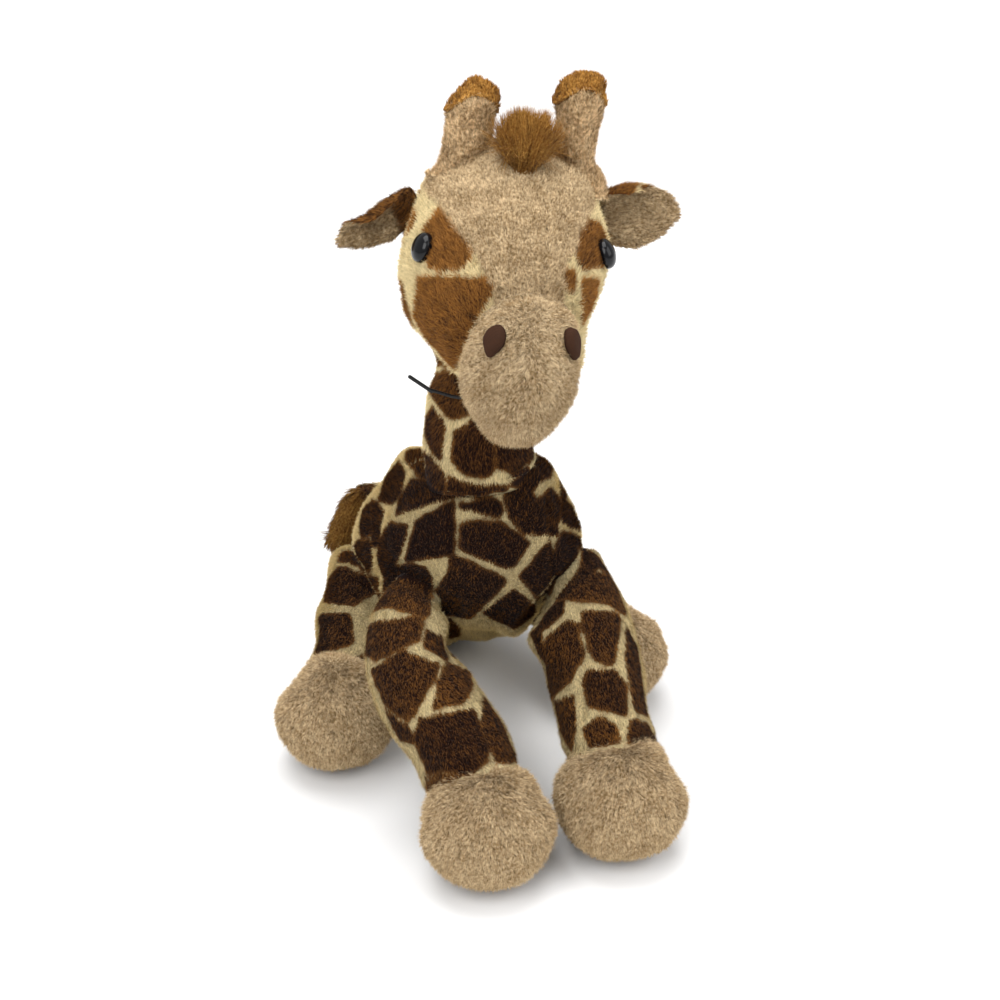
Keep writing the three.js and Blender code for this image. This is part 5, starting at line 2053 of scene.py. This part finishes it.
@dataclass
class FrontLegs(LegPair):
    """Both front legs, which reach forward between the hind hooves."""

    kind: str = "front"
    half_width: float = 20.0
    hinge: Triple = (35.75, -95.75, 93.01)
    hoof_halves: Triple = (28.2, 28.2, 27.5)
    hoof_up: float = 27.0
    hoof_aside: Pair = (29.2, 30.2)
    reach: Pair = (84.2, 82.2)
    bends: tuple[Triple, Triple] = ((-11.0, 0, 0), (-1.0, 0, 0))
    side: Array = field(default_factory=lambda: X_AXIS)
    root_dome: float = 6.0
    salt: float = 10.0
    shares: Table = (
        (0.00, 0.0, 0.58), (0.20, 0.8, 0.92), (0.42, 0.9, 1.05), (0.68, 0.25, 1.06), (0.88, -0.05, 1.02),
        (1.00, 0.0, 0.90),
    )
    patches: tuple[Outlines, Outlines] = ((
        ((374, 622), (423, 615), (418, 638), (374, 659), (363, 650), (363, 631)),
        ((428, 630), (443, 638), (448, 659), (425, 645)),
        ((402, 650), (436, 663), (434, 677), (407, 721), (384, 705), (370, 670)),
        ((448, 661), (469, 670), (473, 682), (464, 700), (434, 707), (439, 682)),
        ((485, 696), (501, 719), (518, 760), (498, 761), (482, 728)),
        ((420, 719), (473, 709), (489, 746), (487, 760), (469, 774), (439, 769), (427, 774), (413, 737)),
        ((432, 785), (452, 777), (473, 786), (439, 799), (428, 794)),
        SHOULDER_PATCH, ((353, 622), (358, 621), (359, 658), (354, 658)),
        ((447, 640), (466, 652), (468, 662), (452, 655)),
        ((385, 712), (408, 729), (412, 742), (398, 740)),
    ), (
        *THIGH_PATCHES,
        ((556, 597), (566, 585), (578, 572), (583, 560), (590, 566), (586, 577), (572, 590), (562, 598)),
        ((530, 632), (538, 626), (541, 640), (545, 662), (538, 655)),
        ((583, 611), (615, 611), (621, 617), (613, 663), (595, 659), (581, 624)),
        ((588, 670), (615, 670), (627, 686), (627, 714), (588, 705), (583, 682)),
        ((583, 728), (599, 716), (615, 725), (620, 741), (590, 746)),
        ((628, 627), (638, 647), (648, 714), (636, 709), (627, 659)),
        ((631, 719), (648, 723), (658, 741), (629, 744)),
        ((567, 620), (576, 624), (582, 652), (570, 679), (549, 698), (544, 659), (544, 640)),
        ((553, 702), (572, 696), (574, 728), (570, 751), (560, 732)),
        ((538, 625), (544, 613), (556, 601), (564, 599), (560, 614), (547, 625), (538, 630)),
    ))
    seams: tuple[Outlines, Outlines] = (
        (((468, 659), (484, 700), (499, 774)),), (((580, 608), (584, 660), (582, 720)),),
    )
    pulls: tuple[Pulls, Pulls] = (
        (((459, 646), (-11, 0), 30), ((410, 765), (6, 0), 40), ((510, 720), (3, 0), 40)),
        (((655, 706), (-6, 0), 42), ((541, 634), (-14, 3), 36)),
    )
    hoof_pulls: tuple[Pulls, Pulls] = (
        (((416, 818), (4, 0), 30), ((547, 790), (-6, 4), 32), ((490, 897), (0, -3), 50)),
        (((680, 765), (-8, 5), 40), ((620, 866), (0, -3), 50)),
    )

@dataclass
class HindLegs(LegPair):
    """Both hind legs, which lie out to the sides."""

    kind: str = "hind"
    half_width: float = 21.0
    hinge: Triple = (36.85, -10.80, 41.93)
    hoof_halves: Triple = (26.5, 26.5, 26.5)
    hoof_up: float = 26.0
    hoof_aside: Pair = (69.85, 62.85)
    reach: Pair = (72.0, 60.0)
    bends: tuple[Triple, Triple] = ((0, 0, 72.0), (0, 0, 60.0))
    side: Array = field(default_factory=lambda: Z_AXIS)
    root_dome: float = 20.0
    salt: float = 14.0
    shares: Table = (
        (0.00, 0.00, 1.08), (0.22, 0.06, 1.12), (0.48, 0.08, 0.96), (0.74, 0.04, 0.84), (1.00, 0.00, 0.74),
    )
    patches: tuple[Outlines, Outlines] = (HIP_PATCHES, THIGH_PATCHES)
    seams: tuple[Outlines, Outlines] = ((), ())
    pulls: tuple[Pulls, Pulls] = (
        (((316, 590), (14, 0), 50), ((308, 640), (9, 0), 36)), (((652, 612), (-5, 5), 42), ((598, 550), (0, 5), 25)),
    )
    hoof_pulls: tuple[Pulls, Pulls] = (
        (((285, 672), (7, 5), 40), ((335, 774), (0, -3), 50)), (((640, 592), (0, 14), 44), ((668, 625), (-5, 4), 38)),
    )


@dataclass
class Tail:
    """A printed stem that curls up to the giraffe's right, with a tuft of long gold fur."""

    hinge: Triple = (-3.8, 16.87, 60.54)
    stem_length: float = 26.0
    stem_rise: float = 10.5
    stem_radius: float = 5.0
    tuft_length: float = 27.0
    tuft_radius: float = 11.0
    stem_shares: Table = (
        (0.0, 0.0, 0.0, 1.0), (0.3, 0.25, 0.55, 1.0), (0.7, 0.3, 0.95, 1.0), (1.0, 0.25, 1.0, 1.1),
    )
    tuft_shares: Table = (
        (-0.05, 0.00, -0.12, 0.30), (0.00, 0.00, -0.04, 0.62), (0.12, 0.03, 0.22, 0.95), (0.26, 0.05, 0.55, 1.00),
        (0.40, 0.06, 0.85, 0.80), (0.46, 0.06, 1.00, 0.30),
    )

    def build(self, bench: Bench, torso: BVHTree) -> None:
        """Makes the stem and the tuft.

        Args:
            bench: what they are made with.
            torso: what the stem is sewn to.
        """
        hinge = np.array(self.hinge)
        places = [hinge + [-aside * self.stem_length, back * self.stem_length, up * self.stem_rise]
                  for aside, back, up, _ in self.stem_shares]
        sizes = [(r * self.stem_radius, r * self.stem_radius) for *_, r in self.stem_shares]
        skin = StuffedForm(places, sizes, side=Z_AXIS, start_dome=4.0, end_dome=3.0).skin(0.9)
        outward = unit(places[1] - hinge)
        skin.sink_into(torso, outward, 4.0)
        Print((), warm=0.4, salt=20.0, spacing=15.0).lay(skin)
        hold = Hold("body", "tail", tuple(hinge + outward * 3), tuple(hinge + outward * 12))
        bench.plush(skin, "tail_stem", Slot.SPOTTED, hold, SMALL)
        rows = [places[-1] + np.array([-aside, back, -down]) * self.tuft_length
                for aside, back, down, _ in self.tuft_shares]
        radii = [(0.62 * r * self.tuft_radius, 0.62 * r * self.tuft_radius) for *_, r in self.tuft_shares]
        skin = StuffedForm(rows, radii, side=Y_AXIS, start_dome=1.0, end_dome=1.5).skin(1.0, (0.0, 0.8))
        skin.tone(1.1)
        bench.plush(skin, "tail_tuft", Slot.GOLD, Hold("tail"), TUFT)


@dataclass
class Fastener:
    """The plastic tag fastener left in the neck: a filament and the bar on its end."""

    radius: float = 0.7
    length: float = 15.0
    bar: float = 11.0
    sink: float = 4.0
    standoff: float = 2.1
    overlap: float = 1.4
    root: Pair = (0.665, 0.644)
    filament_out: Triple = (-0.93, 0.0, 0.36)
    bar_out: Triple = (-0.75, 0.0, 0.66)

    def build(self, bench: Bench, neck: Neck) -> None:
        """Makes the filament and the bar as one piece.

        Args:
            bench: what they are made with.
            neck: the form that they stick out of.
        """
        form, finish = neck.form(), bench.finishes[Slot.FASTENER]
        root, bend = (form.on_skin(*self.root, sink)[0] for sink in (self.sink, -self.standoff))
        end = bend + unit(np.array(self.filament_out)) * self.length
        along = unit(np.array(self.bar_out))
        parts = [(root, bend, end), (end - along * self.overlap, end + along * self.bar / 2, end + along * self.bar)]
        made = []
        for points, size in zip(parts, (self.radius, self.radius * 1.15)):
            rod = StuffedForm(points, [(size, size)] * 3, side=Y_AXIS, start_dome=0.5, end_dome=0.5)
            made.append(rod.skin(0.35).make("tag_fastener_rod", finish))
        bpy.ops.object.select_all(action="DESELECT")
        for part in made:
            part.select_set(True)
        bpy.context.view_layer.objects.active = made[0]
        bpy.ops.object.join()
        bench.plain(made[0], ["tag_fastener"], Hold("neck"))


@dataclass
class PelletBag:
    """The bag of pellets in the seat."""

    halves: Triple = (16.0, 14.0, 12.0)
    floor: float = 8.0

    def build(self, bench: Bench) -> None:
        """Makes the lumpy bag.

        Args:
            bench: what it is made with.
        """
        egg = Egg((0, 0, self.floor + self.halves[2]), tuple(0.95 * half for half in self.halves))
        skin = egg.skin(1.5)
        skin.swell(height=0.5, size=3.0, salt=30.0)
        piece = skin.make("pellet_bag_cloth", bench.finishes[Slot.BAG])
        bench.plain(piece, ["pellet_bag"], Hold("body"))


@dataclass
class Studio:
    """The pale floor, the soft lights and the camera."""

    floor_size: float = 6.0
    floor_colour: tuple[float, ...] = (0.86, 0.86, 0.86, 1)
    world_strength: float = 0.58
    lamps: tuple[tuple[str, Triple, float, float], ...] = (
        ("key", (-0.9, -1.1, 1.5), 1.3, 25.0), ("fill", (1.2, -0.9, 1.1), 1.4, 14.0),
        ("top", (0.0, 0.2, 1.8), 1.4, 27.0),
    )

    def build(self) -> None:
        """Sets up all three."""
        self.floor()
        for name, place, size, power in self.lamps:
            self.light(name, place, size, power)
        world = bpy.data.worlds.new("studio")
        world.use_nodes = True
        inputs = world.node_tree.nodes["Background"].inputs
        inputs["Color"].default_value, inputs["Strength"].default_value = (1, 1, 1, 1), self.world_strength
        bpy.context.scene.world = world
        bpy.context.scene.view_settings.view_transform = "Standard"
        self.camera()

    def floor(self) -> None:
        """A plain pale floor."""
        half = self.floor_size / 2
        mesh = bpy.data.meshes.new("floor")
        mesh.from_pydata([(-half, -half, 0), (half, -half, 0), (half, half, 0), (-half, half, 0)], [], [(0, 1, 2, 3)])
        material = bpy.data.materials.new("floor")
        material.use_nodes = True
        inputs = material.node_tree.nodes["Principled BSDF"].inputs
        inputs["Base Color"].default_value, inputs["Roughness"].default_value = self.floor_colour, 0.9
        mesh.materials.append(material)
        floor = placed("floor", mesh)

    def light(self, name: str, place: Triple, size: float, power: float) -> None:
        """A large soft light that faces the toy.

        Args:
            name: its name.
            place: where it hangs, in metres.
            size: its width in metres.
            power: its power in watts.
        """
        lamp = bpy.data.lights.new(name, "AREA")
        lamp.shape, lamp.size, lamp.energy = "SQUARE", size, power
        aim = Vector(PHOTO.target) * MM - Vector(place)
        made = placed(name, lamp)
        made.location, made.rotation_euler = place, aim.to_track_quat("-Z", "Y").to_euler()

    def camera(self) -> None:
        """The camera at the photograph's angle."""
        lens = bpy.data.cameras.new("camera")
        lens.sensor_width = PHOTO.sensor
        lens.lens = PHOTO.focal_pixels / PHOTO.frame_pixels * PHOTO.sensor
        made = placed("camera", lens)
        turned = Matrix((*PHOTO.axes(), PHOTO.back())).transposed().to_4x4()
        made.matrix_world = Matrix.Translation(Vector(PHOTO.place()) * MM) @ turned
        bpy.context.scene.camera = made


def main() -> None:
    """Builds the toy's sub-assemblies in order."""
    logging.basicConfig(level=logging.INFO, format="%(name)s %(message)s")
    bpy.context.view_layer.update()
    bench = Bench()
    torso, neck, head = Torso(), Neck(), Head()
    ears = (Ear("right", -1, drop=16.0, root=(0.38, 0.436), length=30.5, curl_from=3.5, curl_angles=(2.7, 2.0),
                curl_fade=(0.5, 1.0), low_share=0.5, lined_from=0.05, bare_root=9.0, lining_length=20.0,
                lining_start=0.32, patches=RIGHT_EAR,
                pulls=(((362, 213), (0, 7), 30), ((410, 190), (0, -5), 20), ((398, 236), (0, 3), 18))),
            Ear("left", 1, drop=-1.0, root=(0.38, 0.061), length=36.0, curl_from=3.0, curl_angles=(2.6, 1.0),
                curl_fade=(0.35, 0.8), low_share=0.93, lined_from=-0.1, bare_root=3.0, lining_length=27.0,
                lining_start=0.12, patches=LEFT_EAR, pulls=(((628, 193), (0, -10), 38), ((672, 200), (2, -4), 22))))
    legs = FrontLegs().legs() + HindLegs().legs()
    torso_tree = torso.shape(2.0).tree()
    head_tree = head.shape().tree()
    neck_tree = neck.form().skin(2.5).tree()
    torso.build(bench, [neck_tree, *(leg.shape(2.5).tree() for leg in legs)])
    neck.build(bench, torso_tree, head_tree)
    head.build(bench, neck_tree, [ear.forms(head)[0].skin(1.5).tree() for ear in ears])
    for ear in ears:
        ear.build(bench, head, head_tree)
    for leg in legs:
        leg.build(bench, torso_tree)
    Tail().build(bench, torso_tree)
    Fastener().build(bench, neck)
    PelletBag().build(bench)
    for name in ("right", "left"):
        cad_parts[f"eye_washer_{name}"].data.materials[0] = bench.finishes[Slot.WASHER]
    Studio().build()
    LOG.info("%d pieces", len(bench.made))


if __name__ == "__main__":
    main()
